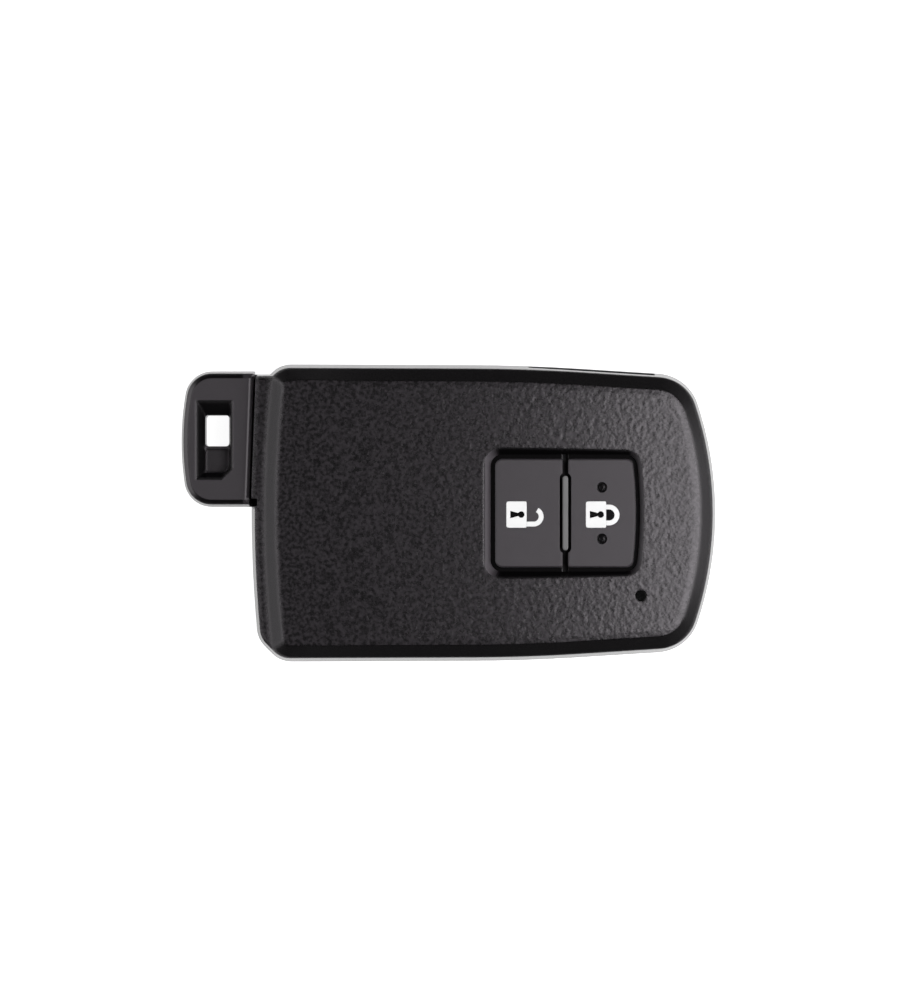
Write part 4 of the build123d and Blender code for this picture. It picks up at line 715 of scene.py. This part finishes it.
def ring_faces(rows, columns, closed=True):
    """The quads of a grid of points, whose columns run in a ring; if closed, the last row joins the first."""
    i, j = np.meshgrid(np.arange(rows if closed else rows - 1), np.arange(columns), indexing="ij")
    next_i, next_j = (i + 1) % rows, (j + 1) % columns
    corners = [(next_i, j), (next_i, next_j), (i, next_j), (i, j)]
    return np.stack([row * columns + column for row, column in corners], axis=-1).reshape(-1, 4)


# %% [markdown]
# The keyhole points to the hoop: a round hole towards it and a skirt that widens away from it, with a waist
# between the two. The body is a rectangle with small round corners.

# %% Body of a padlock
BODY_LENGTH, BODY_WIDTH, BODY_CORNER = 2.8 * MM, 3.64 * MM, 0.12 * MM
KEYHOLE_FROM_END = 2.05 * MM
KEYHOLE_RADIUS, SKIRT_LENGTH, SKIRT_START, SKIRT_HALF = 0.44 * MM, 1.5 * MM, 0.1 * MM, 0.5 * MM
SKIRT_SPREAD = (SKIRT_HALF - SKIRT_START) / SKIRT_LENGTH


def rectangle_reach(angle, low_x, high_x, half_y, corner):
    """Distance from the origin to a round-cornered rectangle, looking along each angle.

    A superellipse of high power stands in for the round corners: (x/a)^n + (y/b)^n = 1 on each side."""
    a = np.where(np.cos(angle) > 0, high_x, -low_x)
    power = half_y / corner
    return (np.abs(np.cos(angle) / a) ** power + np.abs(np.sin(angle) / half_y) ** power) ** (-1 / power)


def keyhole_reach(angle):
    """Distance from the keyhole's middle to its edge: the larger of a circle and a skirt along -x.

    The skirt's half width at a distance d is start + spread * d, so a look back at slope m = y / d leaves it
    at d = start / (m - spread), and at its flat end d = length if m is small."""
    back = np.maximum(-np.cos(angle), 1e-6)
    slope = np.abs(np.sin(angle)) / back
    side = SKIRT_START / np.maximum(slope - SKIRT_SPREAD, 1e-6)
    skirt = np.minimum(side, SKIRT_LENGTH) / back
    return np.where(np.cos(angle) < 0, np.maximum(skirt, KEYHOLE_RADIUS), KEYHOLE_RADIUS)


def padlock_body(name, node, body, low_x, middle_y):
    """The plate P(turn, v): v goes from the keyhole's top edge out, down, back under and up again."""
    hole_x = low_x + KEYHOLE_FROM_END
    corner = math.atan2(SKIRT_HALF, SKIRT_LENGTH)
    turn = np.linspace(0, 2 * math.pi, 160, endpoint=False)
    turn = np.unique(np.concatenate([turn, [math.pi - corner, math.pi + corner]]))
    hole = keyhole_reach(turn)
    edge = rectangle_reach(turn, low_x - hole_x, low_x + BODY_LENGTH - hole_x, BODY_WIDTH / 2, BODY_CORNER)
    reach = np.stack([hole, edge, edge, hole])
    x, y = hole_x + reach * np.cos(turn), middle_y + reach * np.sin(turn)
    z = np.polyval(crowns[node], x) + INK_LEVELS[:, None]
    points = np.stack([x, y, z], axis=-1)
    add_mesh(name, points, ring_faces(*reach.shape), body, icon_paint)


# %% [markdown]
# The hoop is a flat ribbon carried along a path: a straight leg, an arc, and on the closed padlock a second
# leg. The ribbon's section is a small rectangle, and its two ends are closed with one quad each.

# %% Hoop of a padlock
def padlock_hoop(name, node, body, path, width):
    """A ribbon of this width along a path of points, with a closed end at each end."""
    along = np.gradient(path, axis=0)
    along /= np.linalg.norm(along, axis=1, keepdims=True)
    side = np.stack([-along[:, 1], along[:, 0]], axis=1) * width / 2
    flat = np.stack([path - side, path + side, path + side, path - side], axis=1)
    z = np.polyval(crowns[node], flat[..., 0]) + INK_LEVELS
    points = np.concatenate([flat, z[..., None]], axis=-1)
    first, last = np.array([[0, 1, 2, 3]]), np.array([[3, 2, 1, 0]]) + 4 * (len(path) - 1)
    faces = np.concatenate([ring_faces(len(path), 4, closed=False), first, last])
    add_mesh(name, points, faces, body, icon_paint)


def arc(center, radius, first_angle, last_angle, count=28):
    """Points of a circle's arc, from one angle to another in degrees."""
    angle = np.radians(np.linspace(first_angle, last_angle, count))
    return np.stack([center[0] + radius * np.cos(angle), center[1] + radius * np.sin(angle)], axis=1)


HOOP_WIDTH = 0.68 * MM
HOOP_SINK = 0.02 * MM

padlock_body("unlock_icon_body", "button_unlock", "unlock_button", UNLOCK_X, ICON_Y)
padlock_body("lock_icon_body", "button_lock", "lock_button", LOCK_X, ICON_Y)

open_middle = np.array([UNLOCK_X + 3.77 * MM, ICON_Y - 0.28 * MM])
open_radius = 1.03 * MM
open_leg = np.array([[UNLOCK_X + BODY_LENGTH - HOOP_SINK, open_middle[1] - open_radius]])
open_path = np.concatenate([open_leg, arc(open_middle, open_radius, -90, 62)])
padlock_hoop("unlock_icon_hoop", "button_unlock", "unlock_button", open_path, HOOP_WIDTH)

closed_middle = np.array([CLOSED_HOOP_X, ICON_Y - 0.06 * MM])
closed_radius = 1.1 * MM
legs_x = LOCK_X + BODY_LENGTH - HOOP_SINK
closed_path = np.concatenate(
    [
        [[legs_x, closed_middle[1] - closed_radius]],
        arc(closed_middle, closed_radius, -90, 90),
        [[legs_x, closed_middle[1] + closed_radius]],
    ]
)
padlock_hoop("lock_icon_hoop", "button_lock", "lock_button", closed_path, HOOP_WIDTH)
